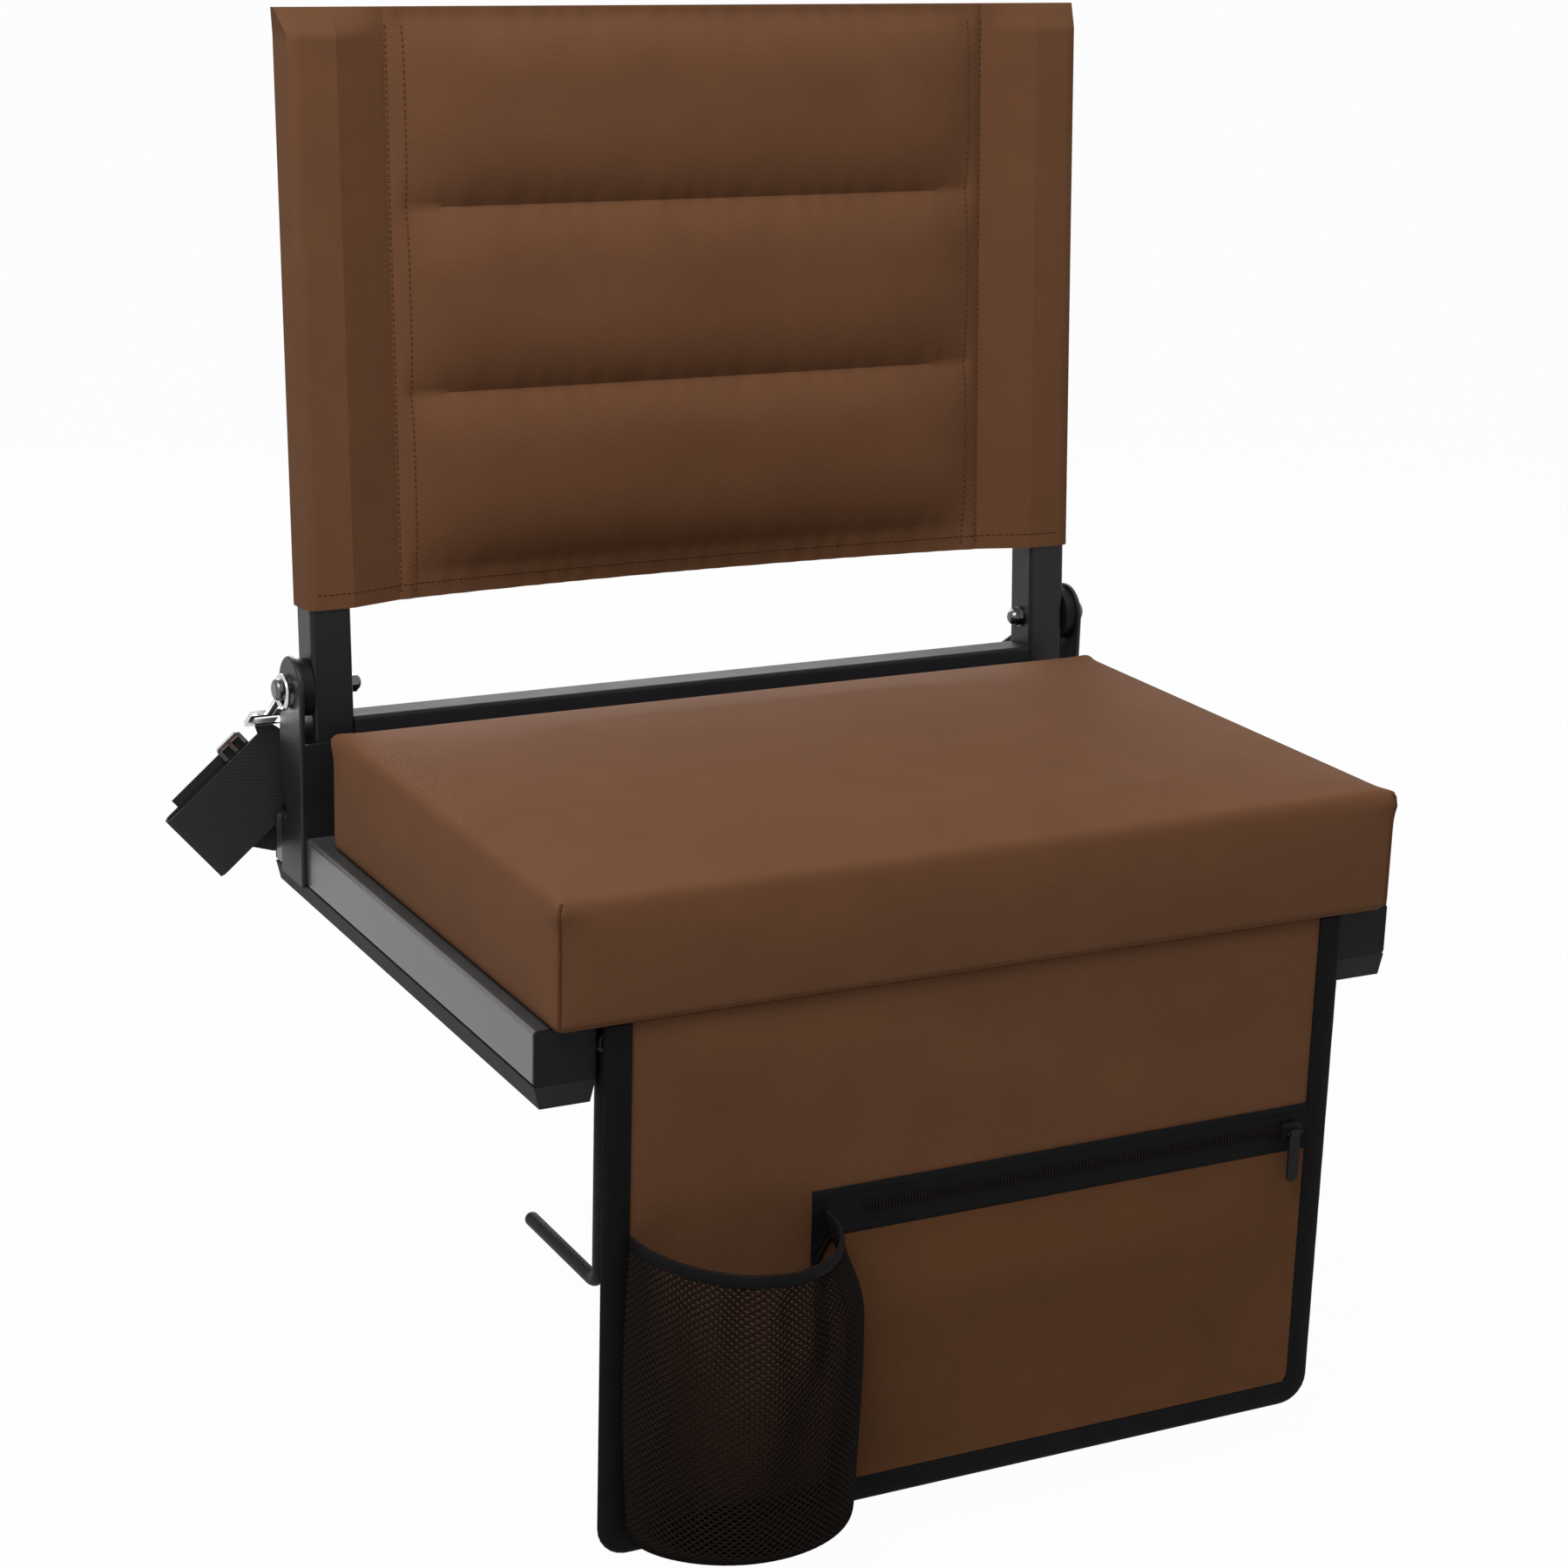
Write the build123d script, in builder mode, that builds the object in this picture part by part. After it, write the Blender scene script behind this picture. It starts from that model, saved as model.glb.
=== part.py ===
from build123d import *
import os
from math import cos, radians, sin

# A folding bleacher seat: a tube frame on grip strips carries a box cushion, the padded
# back folds forward on two bolts, and a storage apron and two bench hooks hang in front.
# Millimetres. X runs to the right as seen from the front, Y to the back, Z up.
# Z = 0 is the underside of the grip strips, X = 0 and Y = 0 the middle of the rails.
os.makedirs("parts", exist_ok=True)

# Seat frame
seat_width = 526.0
rail_length = 396.0
rail_width = 34.0
rail_height = 30.0
rail_wall = 1.5
rail_corner = 2.5
strip_height = 12.0
strip_taper = 3.0
cap_flange = 2.0
cap_plug = 12.0
cap_wall = 2.0
fit_gap = 0.1
tube_size = 25.0
tube_wall = 1.5
tube_corner = 2.5
front_tube_setback = 27.5
rear_tube_setback = 30.0

# Cushion
cushion_side = 9.0
cushion_rear_gap = 25.0
cushion_height = 71.0
cushion_overhang = 10.0
cushion_crown = 5.0
cushion_bow = 2.0
cushion_top_radius = 14.0
cushion_bottom_radius = 8.0
cushion_end_radius = 7.0
cover_skin = 1.5
soft_gap = 0.3
board_thickness = 6.0
board_inset = 8.0
board_screw_diameter = 5.0
board_screw_head = 9.0
board_screw_head_height = 3.0
board_screw_bite = 5.0
board_screw_spacing = 140.0
board_screw_count = 3

# Hinge between seat and back
pivot_setback = 38.0
pivot_z = 129.0
recline = 3.9
bracket_depth = 38.0
bracket_plate = 3.0
stop_top = 99.0
strap_hole = 9.0
strap_hole_edge = 7.5
strap_hole_height = 8.5
bolt_diameter = 6.0
bolt_running_gap = 0.06
bolt_neck = 5.5
bolt_head_diameter = 13.0
bolt_head_height = 4.0
bolt_head_round = 2.5
washer_diameter = 13.0
washer_thickness = 1.2
nut_sides = 6
nut_width = 10.0
nut_height = 4.0
nut_dome = 3.0
dome_middle = 45.0
spacer_diameter = 34.0

# Back
upright_offset = 20.0
upright_low = -45.0
upright_high = 372.0
crossbar_top = -18.0
back_low = 47.0
back_high = 388.0
back_skin = 1.2
sleeve_gap = 0.4
sleeve_close = 15.0
seam_inset = 47.0
channel_count = 3
channel_front = 10.0
channel_rear = 7.0
channel_edge = 1.2
channel_taper = 16.0
pad_margin = 3.0

# Apron with its pockets
apron_side = 37.0
apron_drop = 300.0
apron_lead = 5.0
apron_skin = 2.0
apron_corner = 16.5
binding_width = 14.0
binding_skin = 1.2
zip_height = 27.0
zip_top_drop = 111.0
zip_under_cup = 7.0
zip_skin = 1.2
chain_width = 5.0
chain_height = 1.2
pocket_skin = 1.2
slider_length = 12.0
slider_width = 9.0
slider_height = 2.6
slider_corner = 2.2
slider_end_gap = 6.0
bridge_wire = 1.6
bridge_rise = 2.6
pull_length = 30.0
pull_width = 7.0
pull_thickness = 1.5
cup_side = 15.0
cup_width = 126.0
cup_reach = 60.0
cup_belly = 5.0
cup_foot_inset = 12.0
cup_rim_drop = 118.0
cup_rim_dip = 6.0
cup_foot_drop = 298.0
cup_foot_rise = 14.0
cup_skin = 1.5
hem_width = 6.0
hem_skin = 1.2

# Bench hooks
hook_rod = 8.0
hook_inset = 8.0
hook_drop = 137.5
hook_reach = 93.0
hook_bend = 10.0
hook_eye = 15.0
hook_eye_thickness = 6.0
hook_tip_round = 3.0
hook_bolt = 8.0
hook_bolt_head = 12.0
hook_bolt_head_height = 4.5
hook_nut_width = 13.0
hook_nut_height = 6.5
hook_washer = 2.0
hook_washer_diameter = 12.0

# Shoulder strap and its hardware
strap_width = 50.0
strap_skin = 1.6
strap_layer = 4.0
strap_back_gap = 1.0
strap_fold_out = 47.4
strap_fold_z = 25.5
strap_slope = 41.0
strap_upper_run = 72.0
strap_lower_run = 50.0
strap_return_run = 21.0
strap_end_width = 11.0
strap_run_z = 40.5
strap_start_inset = 1.0
strap_end_inset = 73.0
strap_sag = 14.0
ring_wire = 3.2
ring_diameter = 22.0
snap_length = 20.0
snap_barrel = 4.8
snap_eye_wire = 3.0
snap_eye_length = 16.0
snap_eye_width = 24.0
left_snap_tilt = 38.0
right_snap_tilt = 20.3
barrel_turn = 90.0
glide_wire = 2.5
glide_length = 58.0
glide_depth = 18.0
glide_along = 56.0
glide_past = 10.0

# Places that follow from the sizes above
rail_outer = seat_width / 2
rail_inner = rail_outer - rail_width
rail_mid = rail_outer - rail_width / 2
rail_top = strip_height + rail_height
rail_mid_z = strip_height + rail_height / 2
rail_rear = rail_length / 2
rail_front = -rail_rear
frame_front = rail_front - cap_flange
frame_rear = rail_rear + cap_flange
tube_mid_z = rail_top - tube_size / 2
tube_floor = rail_top - tube_size
front_tube_y = frame_front + front_tube_setback
pivot_y = frame_rear - pivot_setback
cushion_width = seat_width - 2 * cushion_side
cushion_front = frame_front - cushion_overhang
cushion_rear = pivot_y - bracket_depth / 2 - cushion_rear_gap
cushion_depth = cushion_rear - cushion_front
cushion_shoulder = rail_top + cushion_height
rear_tube_y = cushion_rear - rear_tube_setback
board_floor = rail_top + cover_skin
board_top = board_floor + board_thickness
upright_mid = rail_outer - upright_offset
upright_inner = upright_mid - tube_size / 2
upright_outer = upright_mid + tube_size / 2
bracket_front = pivot_y - bracket_depth / 2
bracket_rear = pivot_y + bracket_depth / 2
bracket_face = rail_outer + bracket_plate
bolt_radius = bolt_diameter / 2
bolt_bore = bolt_radius + bolt_running_gap
seam_x = upright_inner - seam_inset + tube_size / 2
channel_pitch = (back_high - back_low) / channel_count
apron_width = seat_width - 2 * apron_side
apron_y = frame_front - apron_lead
apron_top = rail_top - soft_gap
apron_floor = apron_top - apron_drop
apron_face = apron_y - apron_skin / 2
zip_top = apron_top - zip_top_drop
zip_floor = zip_top - zip_height
zip_mid_z = zip_top - zip_height / 2
cup_left = cup_side - apron_width / 2
cup_right = cup_left + cup_width
zip_left = cup_right - zip_under_cup
zip_right = apron_width / 2 - binding_width - soft_gap
zip_back = apron_face - soft_gap
zip_face = zip_back - zip_skin
chain_face = zip_face - chain_height
slider_x = zip_right - slider_end_gap - slider_length / 2
slider_back = chain_face - soft_gap
slider_face = slider_back - slider_height
hook_x = rail_inner - hook_inset
hook_y = front_tube_y - tube_size / 2 - hook_washer - hook_eye_thickness / 2
strap_y = frame_rear + strap_back_gap
strap_fold_x = -rail_outer - strap_fold_out
strap_run_start = strap_start_inset - rail_outer
strap_run_end = rail_outer - strap_end_inset


def front_plane(y):
    """Plane facing forward at depth y: local x is X, local y is Z, and it extrudes forward."""
    return Plane(origin=(0, y, 0), x_dir=(1, 0, 0), z_dir=(0, -1, 0))


def side_plane(x):
    """Plane facing +X at x: local x is Y, local y is Z."""
    return Plane(origin=(x, 0, 0), x_dir=(0, 1, 0), z_dir=(1, 0, 0))


lean_up = (0, sin(radians(recline)), cos(radians(recline)))
lean_back = (0, cos(radians(recline)), -sin(radians(recline)))
back_base = Plane(origin=(0, pivot_y, pivot_z), x_dir=(1, 0, 0), z_dir=lean_up)


def back_side_plane(x):
    """Plane facing +X on the leaning back: local x is its depth, local y runs up the uprights."""
    return Plane(origin=(x, pivot_y, pivot_z), x_dir=lean_back, z_dir=(1, 0, 0))


def save(part, name):
    """Label a finished piece and write it as a STEP file."""
    part.label = name
    export_step(part, f"parts/{name}.step")


def tube_section(centre, width, height, wall, corner):
    """Draw a rounded rectangular tube section at a place in the open sketch."""
    with Locations(centre):
        RectangleRounded(width, height, corner)
        RectangleRounded(
            width - 2 * wall, height - 2 * wall, max(corner - wall, fit_gap), mode=Mode.SUBTRACT
        )


def plug_section(centre, width, height, wall):
    """Draw the ring-shaped plug of an end cap that slides inside a tube."""
    outer_width = width - 2 * wall - 2 * fit_gap
    outer_height = height - 2 * wall - 2 * fit_gap
    with Locations(centre):
        RectangleRounded(outer_width, outer_height, cap_wall)
        Rectangle(outer_width - 2 * cap_wall, outer_height - 2 * cap_wall, mode=Mode.SUBTRACT)


sides = {"left": -1, "right": 1}

# Seat rails
for name, side in sides.items():
    with BuildPart() as rail:
        with BuildSketch(front_plane(rail_rear)):
            tube_section((side * rail_mid, rail_mid_z), rail_width, rail_height, rail_wall, rail_corner)
        extrude(amount=rail_length)
    save(rail.part, f"{name}_seat_rail")

# Plastic caps that close both ends of each rail
rail_ends = [(side * rail_mid, rail_mid_z) for side in sides.values()]
with BuildPart() as rail_caps:
    for end_y, outward in ((rail_front, 1), (rail_rear, -1)):
        with BuildSketch(front_plane(end_y)):
            with Locations(*rail_ends):
                RectangleRounded(rail_width, rail_height, rail_corner)
        extrude(amount=outward * cap_flange)
        with BuildSketch(front_plane(end_y)):
            for centre in rail_ends:
                plug_section(centre, rail_width, rail_height, rail_wall)
        extrude(amount=-outward * cap_plug)
save(rail_caps.part, "rail_end_caps")

# Grip strips under the rails, tapered towards the foot
strip_foot = rail_width - 2 * strip_taper
for name, side in sides.items():
    with BuildPart() as strip:
        with BuildSketch(front_plane(frame_rear)):
            with BuildLine():
                Polyline(
                    (side * rail_mid - strip_foot / 2, 0),
                    (side * rail_mid + strip_foot / 2, 0),
                    (side * rail_mid + rail_width / 2, strip_height),
                    (side * rail_mid - rail_width / 2, strip_height),
                    close=True,
                )
            make_face()
        extrude(amount=rail_length + 2 * cap_flange)
    save(strip.part, f"{name}_grip_strip")

# Cross tubes between the rails, drilled for the board screws and, in front, the hook bolts
screw_xs = [
    (index - (board_screw_count - 1) / 2) * board_screw_spacing for index in range(board_screw_count)
]
screw_bore = board_screw_diameter / 2 + fit_gap
for name, tube_y in (("front", front_tube_y), ("rear", rear_tube_y)):
    with BuildPart() as cross_tube:
        with BuildSketch(side_plane(-rail_inner)):
            tube_section((tube_y, tube_mid_z), tube_size, tube_size, tube_wall, tube_corner)
        extrude(amount=2 * rail_inner)
        with BuildSketch(Plane.XY.offset(tube_floor)):
            with Locations(*[(x, tube_y) for x in screw_xs]):
                Circle(screw_bore)
        extrude(amount=tube_size, mode=Mode.SUBTRACT)
        if name == "front":
            with BuildSketch(front_plane(tube_y)):
                with Locations((-hook_x, tube_mid_z), (hook_x, tube_mid_z)):
                    Circle(hook_bolt / 2 + fit_gap)
            extrude(amount=tube_size, both=True, mode=Mode.SUBTRACT)
    save(cross_tube.part, f"{name}_cross_tube")


def cushion_section(x, inset, floor, crown, bow):
    """Draw the cushion's upright section at x, shrunk by inset, on a floor height."""
    front = cushion_front + inset + bow
    rear = cushion_rear - inset - bow
    shoulder = cushion_shoulder - inset
    low = cushion_bottom_radius
    high = cushion_top_radius
    with BuildSketch(side_plane(x)) as section:
        with BuildLine():
            Line((front + low, floor), (rear - low, floor))
            RadiusArc((rear - low, floor), (rear, floor + low), -low)
            Line((rear, floor + low), (rear, shoulder - high))
            RadiusArc((rear, shoulder - high), (rear - high, shoulder), -high)
            ThreePointArc(
                (rear - high, shoulder),
                ((front + rear) / 2, shoulder + crown),
                (front + high, shoulder),
            )
            RadiusArc((front + high, shoulder), (front, shoulder - high), -high)
            Line((front, shoulder - high), (front, floor + low))
            RadiusArc((front, floor + low), (front + low, floor), -low)
        make_face()
    return section.sketch


def cushion_form(inset, floor):
    """Loft the crowned box of the cushion, shrunk by inset, and round its two ends."""
    half = cushion_width / 2 - inset
    with BuildPart() as form:
        loft(
            [
                cushion_section(-half, inset, floor, cushion_crown / 2, cushion_bow),
                cushion_section(0, inset, floor, cushion_crown, 0),
                cushion_section(half, inset, floor, cushion_crown / 2, cushion_bow),
            ]
        )
        ends = form.faces().sort_by(Axis.X)
        fillet(ends[0].edges() + ends[-1].edges(), cushion_end_radius)
    return form.part


# Cushion cover, foam core and base board
cushion_outer = cushion_form(0, rail_top)
cushion_hollow = cushion_form(cover_skin, board_floor)
foam_form = cushion_form(cover_skin + soft_gap, board_top)
with BuildPart() as cover:
    add(cushion_outer)
    add(cushion_hollow, mode=Mode.SUBTRACT)
    with BuildSketch(Plane.XY.offset(rail_top)):
        with Locations(*[(x, y) for x in screw_xs for y in (front_tube_y, rear_tube_y)]):
            Circle(screw_bore)
    extrude(amount=cover_skin, mode=Mode.SUBTRACT)
save(cover.part, "cushion_cover")

with BuildPart() as foam:
    add(foam_form)
save(foam.part, "cushion_foam")

board_mid_y = (cushion_front + cushion_rear) / 2
with BuildPart() as board:
    with BuildSketch(Plane.XY.offset(board_floor)):
        with Locations((0, board_mid_y)):
            RectangleRounded(
                cushion_width - 2 * board_inset - 2 * cushion_end_radius,
                cushion_depth - 2 * board_inset - 2 * cushion_bottom_radius,
                board_inset,
            )
    extrude(amount=board_thickness)
    with BuildSketch(Plane.XY.offset(board_floor)):
        with Locations(*[(x, y) for x in screw_xs for y in (front_tube_y, rear_tube_y)]):
            Circle(screw_bore)
    extrude(amount=board_screw_bite, mode=Mode.SUBTRACT)
save(board.part, "seat_board")

# Screws that hold the board down through the cross tubes
with BuildPart() as screws:
    screw_spots = [(x, y) for x in screw_xs for y in (front_tube_y, rear_tube_y)]
    with BuildSketch(Plane.XY.offset(tube_floor)):
        with Locations(*screw_spots):
            Circle(board_screw_head / 2)
    extrude(amount=-board_screw_head_height)
    with BuildSketch(Plane.XY.offset(tube_floor)):
        with Locations(*screw_spots):
            Circle(board_screw_diameter / 2)
    extrude(amount=board_floor + board_screw_bite - fit_gap - tube_floor)
save(screws.part, "board_screws")

# Hinge brackets: a tall outer plate with a round head and a short front plate as the stop
for name, side in sides.items():
    with BuildPart() as bracket:
        with BuildSketch(side_plane(side * rail_outer)):
            with BuildLine():
                Polyline(
                    (bracket_front, pivot_z),
                    (bracket_front, strip_height),
                    (bracket_rear, strip_height),
                    (bracket_rear, pivot_z),
                )
                RadiusArc((bracket_rear, pivot_z), (bracket_front, pivot_z), -bracket_depth / 2)
            make_face()
            with Locations((pivot_y, pivot_z)):
                Circle(bolt_bore, mode=Mode.SUBTRACT)
            with Locations((bracket_rear - strap_hole_edge, rail_top + strap_hole_height)):
                Circle(strap_hole / 2, mode=Mode.SUBTRACT)
        extrude(amount=side * bracket_plate)
        with BuildSketch(front_plane(bracket_front + bracket_plate)):
            with BuildLine():
                Polyline(
                    (side * rail_outer, rail_top),
                    (side * rail_inner, rail_top),
                    (side * rail_inner, stop_top),
                    (side * rail_outer, stop_top),
                    close=True,
                )
            make_face()
        extrude(amount=bracket_plate)
        bends = bracket.edges().filter_by(Axis.Z).group_by(Axis.Y)[0].sort_by(Axis.X)
        fillet(bends[-1] if side > 0 else bends[0], bracket_plate / 2)
    save(bracket.part, f"{name}_hinge_bracket")

hinge_axis = Axis((0, pivot_y, pivot_z), (1, 0, 0))
nut_seat = upright_inner - soft_gap - washer_thickness
bolt_tip = nut_seat - nut_height
dome_point = (
    bolt_tip - nut_dome * sin(radians(dome_middle)),
    nut_width / 2 * cos(radians(dome_middle)),
)


def hinge_turning(side):
    """Plane through the hinge axis whose local x points outward on one side."""
    return Plane(origin=(0, pivot_y, pivot_z), x_dir=(side, 0, 0), z_dir=(0, 0, 1))


# Pivot bolts with a round head and a bare neck outside the bracket
head_seat = bracket_face + bolt_neck
with BuildPart() as hinge_bolts:
    for side in sides.values():
        with BuildSketch(side_plane(side * bolt_tip)):
            with Locations((pivot_y, pivot_z)):
                Circle(bolt_radius)
        extrude(amount=side * (head_seat - bolt_tip))
        with BuildSketch(side_plane(side * head_seat)):
            with Locations((pivot_y, pivot_z)):
                Circle(bolt_head_diameter / 2)
        extrude(amount=side * bolt_head_height)
    head_faces = hinge_bolts.faces().filter_by(Axis.X).sort_by(Axis.X)
    fillet(head_faces[0].edges() + head_faces[-1].edges(), bolt_head_round)
save(hinge_bolts.part, "hinge_bolts")

# Washers and dome nuts on the inner ends of the bolts
with BuildPart() as hinge_washers:
    for side in sides.values():
        with BuildSketch(side_plane(side * nut_seat)):
            with Locations((pivot_y, pivot_z)):
                Circle(washer_diameter / 2)
                Circle(bolt_bore, mode=Mode.SUBTRACT)
        extrude(amount=side * washer_thickness)
save(hinge_washers.part, "hinge_washers")

with BuildPart() as hinge_nuts:
    for side in sides.values():
        with BuildSketch(side_plane(side * nut_seat)):
            with Locations((pivot_y, pivot_z)):
                RegularPolygon(nut_width / 2, nut_sides, major_radius=False)
                Circle(bolt_bore, mode=Mode.SUBTRACT)
        extrude(amount=-side * nut_height)
        with BuildSketch(hinge_turning(side)):
            with BuildLine():
                Line((bolt_tip, 0), (bolt_tip, nut_width / 2))
                ThreePointArc((bolt_tip, nut_width / 2), dome_point, (bolt_tip - nut_dome, 0))
                Line((bolt_tip - nut_dome, 0), (bolt_tip, 0))
            make_face()
        revolve(axis=hinge_axis)
save(hinge_nuts.part, "hinge_dome_nuts")

# Spacer discs between bracket and upright
with BuildPart() as spacers:
    for side in sides.values():
        with BuildSketch(side_plane(side * rail_outer)):
            with Locations((pivot_y, pivot_z)):
                Circle(spacer_diameter / 2)
                Circle(bolt_bore, mode=Mode.SUBTRACT)
        extrude(amount=-side * (rail_outer - upright_outer - soft_gap))
save(spacers.part, "hinge_spacers")

# Back uprights, drilled for the pivot bolts
tube_low = upright_low + cap_flange
tube_high = upright_high - cap_flange
for name, side in sides.items():
    with BuildPart() as upright:
        with BuildSketch(back_base.offset(tube_low)):
            tube_section((side * upright_mid, 0), tube_size, tube_size, tube_wall, tube_corner)
        extrude(amount=tube_high - tube_low)
        with BuildSketch(side_plane(side * upright_mid)):
            with Locations((pivot_y, pivot_z)):
                Circle(bolt_bore)
        extrude(amount=tube_size, both=True, mode=Mode.SUBTRACT)
    save(upright.part, f"{name}_back_upright")

with BuildPart() as upright_caps:
    upright_spots = [(side * upright_mid, 0) for side in sides.values()]
    for end_s, outward in ((tube_low, -1), (tube_high, 1)):
        with BuildSketch(back_base.offset(end_s)):
            with Locations(*upright_spots):
                RectangleRounded(tube_size, tube_size, tube_corner)
        extrude(amount=outward * cap_flange)
        with BuildSketch(back_base.offset(end_s)):
            for spot in upright_spots:
                plug_section(spot, tube_size, tube_size, tube_wall)
        extrude(amount=-outward * cap_plug)
save(upright_caps.part, "upright_end_caps")

with BuildPart() as crossbar:
    with BuildSketch(back_side_plane(-upright_inner)):
        tube_section((0, crossbar_top - tube_size / 2), tube_size, tube_size, tube_wall, tube_corner)
    extrude(amount=2 * upright_inner)
save(crossbar.part, "back_crossbar")


def channel_section(x, front, rear):
    """Draw the quilted section of the back panel at x with its swollen channels."""
    lows = [back_low + index * channel_pitch for index in range(channel_count)]
    with BuildSketch(back_side_plane(x)) as section:
        with BuildLine():
            for low in lows:
                ThreePointArc(
                    (-channel_edge, low),
                    (-front, low + channel_pitch / 2),
                    (-channel_edge, low + channel_pitch),
                )
            Line((-channel_edge, back_high), (channel_edge, back_high))
            for low in reversed(lows):
                ThreePointArc(
                    (channel_edge, low + channel_pitch),
                    (rear, low + channel_pitch / 2),
                    (channel_edge, low),
                )
            Line((channel_edge, back_low), (-channel_edge, back_low))
        make_face()
    return section.sketch


def pad_section(x, index, shrink):
    """Draw one foam pad's lens-shaped section at x, shrunk inside the cover by shrink."""
    low = back_low + index * channel_pitch + pad_margin + shrink
    high = back_low + (index + 1) * channel_pitch - pad_margin - shrink
    edge = channel_edge / 2
    front = channel_front - back_skin - shrink
    rear = channel_rear - back_skin - shrink
    with BuildSketch(back_side_plane(x)) as section:
        with BuildLine():
            ThreePointArc((-edge, low), (-front, (low + high) / 2), (-edge, high))
            Line((-edge, high), (edge, high))
            ThreePointArc((edge, high), (rear, (low + high) / 2), (edge, low))
            Line((edge, low), (-edge, low))
        make_face()
    return section.sketch


def pad_form(index, shrink):
    """Make one foam pad, or with no shrink the pocket in the cover that holds it."""
    half = panel_flat - shrink
    section = pad_section(-half, index, shrink)
    with BuildPart() as form:
        extrude(section, amount=2 * half, dir=(1, 0, 0))
    return form.part


# Foam pads of the back
panel_flat = seam_x - channel_taper
for index, name in enumerate(("lower", "middle", "upper")):
    save(pad_form(index, soft_gap), f"{name}_back_pad")

# Back cover: two sleeves over the uprights and a quilted panel between two sewn seams
sleeve_wrap = sleeve_gap + back_skin
sleeve_half = tube_size / 2 + sleeve_wrap
sleeve_top = back_high - sleeve_close
web_inner = upright_inner - sleeve_wrap
web_outer = upright_outer + sleeve_wrap


def sleeve_section(side, height, half_depth):
    """Draw one side sleeve of the back cover with its web to the seam."""
    with BuildSketch(back_base.offset(height)) as section:
        with BuildLine():
            Polyline(
                (side * seam_x, -channel_edge),
                (side * web_inner, -half_depth),
                (side * web_outer, -half_depth),
                (side * web_outer, half_depth),
                (side * web_inner, half_depth),
                (side * seam_x, channel_edge),
                close=True,
            )
        make_face()
    return section.sketch


def sleeve_bore(side):
    """Draw the hollow of one sleeve, which the upright fills and which thins to the seam."""
    apex = seam_x + 2 * channel_edge
    half = tube_size / 2 + sleeve_gap
    with BuildSketch(back_base.offset(back_low)) as section:
        with BuildLine():
            Polyline(
                (side * apex, -channel_edge / 2),
                (side * (upright_inner - sleeve_gap), -half),
                (side * (upright_outer + sleeve_gap), -half),
                (side * (upright_outer + sleeve_gap), half),
                (side * (upright_inner - sleeve_gap), half),
                (side * apex, channel_edge / 2),
                close=True,
            )
        make_face()
    return section.sketch


panel_section = channel_section(-panel_flat, channel_front, channel_rear)
panel_ends = [
    [
        channel_section(side * panel_flat, channel_front, channel_rear),
        channel_section(side * seam_x, 2 * channel_edge, 2 * channel_edge),
    ]
    for side in sides.values()
]
sleeve_sections = [sleeve_section(side, back_low, sleeve_half) for side in sides.values()]
sleeve_closings = [
    [sleeve_section(side, sleeve_top, sleeve_half), sleeve_section(side, back_high, 2 * channel_edge)]
    for side in sides.values()
]
sleeve_bores = [sleeve_bore(side) for side in sides.values()]
pockets = [pad_form(index, 0) for index in range(channel_count)]

with BuildPart() as back_cover:
    extrude(panel_section, amount=2 * panel_flat, dir=(1, 0, 0))
    for pair in panel_ends:
        loft(pair)
    for section in sleeve_sections:
        extrude(section, amount=sleeve_top - back_low, dir=lean_up)
    for pair in sleeve_closings:
        loft(pair)
    for bore in sleeve_bores:
        extrude(bore, amount=sleeve_top - back_low, dir=lean_up, mode=Mode.SUBTRACT)
    for pocket in pockets:
        add(pocket, mode=Mode.SUBTRACT)
save(back_cover.part, "back_cover")


def apron_shape(grow):
    """Draw the apron's outline, grown or shrunk, with its round lower corners."""
    with BuildSketch() as shape:
        with Locations((0, (apron_top + apron_floor - grow) / 2)):
            Rectangle(apron_width + 2 * grow, apron_drop + grow)
        fillet(shape.vertices().group_by(Axis.Y)[0], apron_corner + grow)
    return shape.sketch


apron_outline = apron_shape(0)
binding_outline = apron_shape(binding_skin)
window_outline = apron_shape(-binding_width)

# Apron panel and the binding tape sewn round its sides and foot
with BuildPart() as apron:
    with BuildSketch(front_plane(apron_y + apron_skin / 2)):
        add(apron_outline)
    extrude(amount=apron_skin)
save(apron.part, "apron_panel")

with BuildPart() as binding:
    with BuildSketch(front_plane(apron_y + apron_skin / 2 + binding_skin)):
        add(binding_outline)
        add(window_outline, mode=Mode.SUBTRACT)
    extrude(amount=apron_skin + 2 * binding_skin)
    with BuildSketch(front_plane(apron_y + apron_skin / 2)):
        add(apron_outline)
    extrude(amount=apron_skin, mode=Mode.SUBTRACT)
save(binding.part, "apron_binding")

# Zip pocket on the apron's front: lower panel, tape, coil, slider and pull
pocket_floor = apron_floor + binding_width + soft_gap
pocket_top = zip_floor - soft_gap
with BuildPart() as pocket_panel:
    with BuildSketch(front_plane(zip_back)) as pocket_sketch:
        with Locations(((zip_left + zip_right) / 2, (pocket_floor + pocket_top) / 2)):
            Rectangle(zip_right - zip_left, pocket_top - pocket_floor)
        low_corner = pocket_sketch.vertices().group_by(Axis.Y)[0].sort_by(Axis.X)[-1]
        fillet(low_corner, apron_corner - binding_width)
    extrude(amount=pocket_skin)
save(pocket_panel.part, "zip_pocket_panel")

with BuildPart() as zip_tape:
    with BuildSketch(front_plane(zip_back)):
        with Locations(((zip_left + zip_right) / 2, zip_mid_z)):
            Rectangle(zip_right - zip_left, zip_height)
    extrude(amount=zip_skin)
save(zip_tape.part, "zip_tape")

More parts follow.
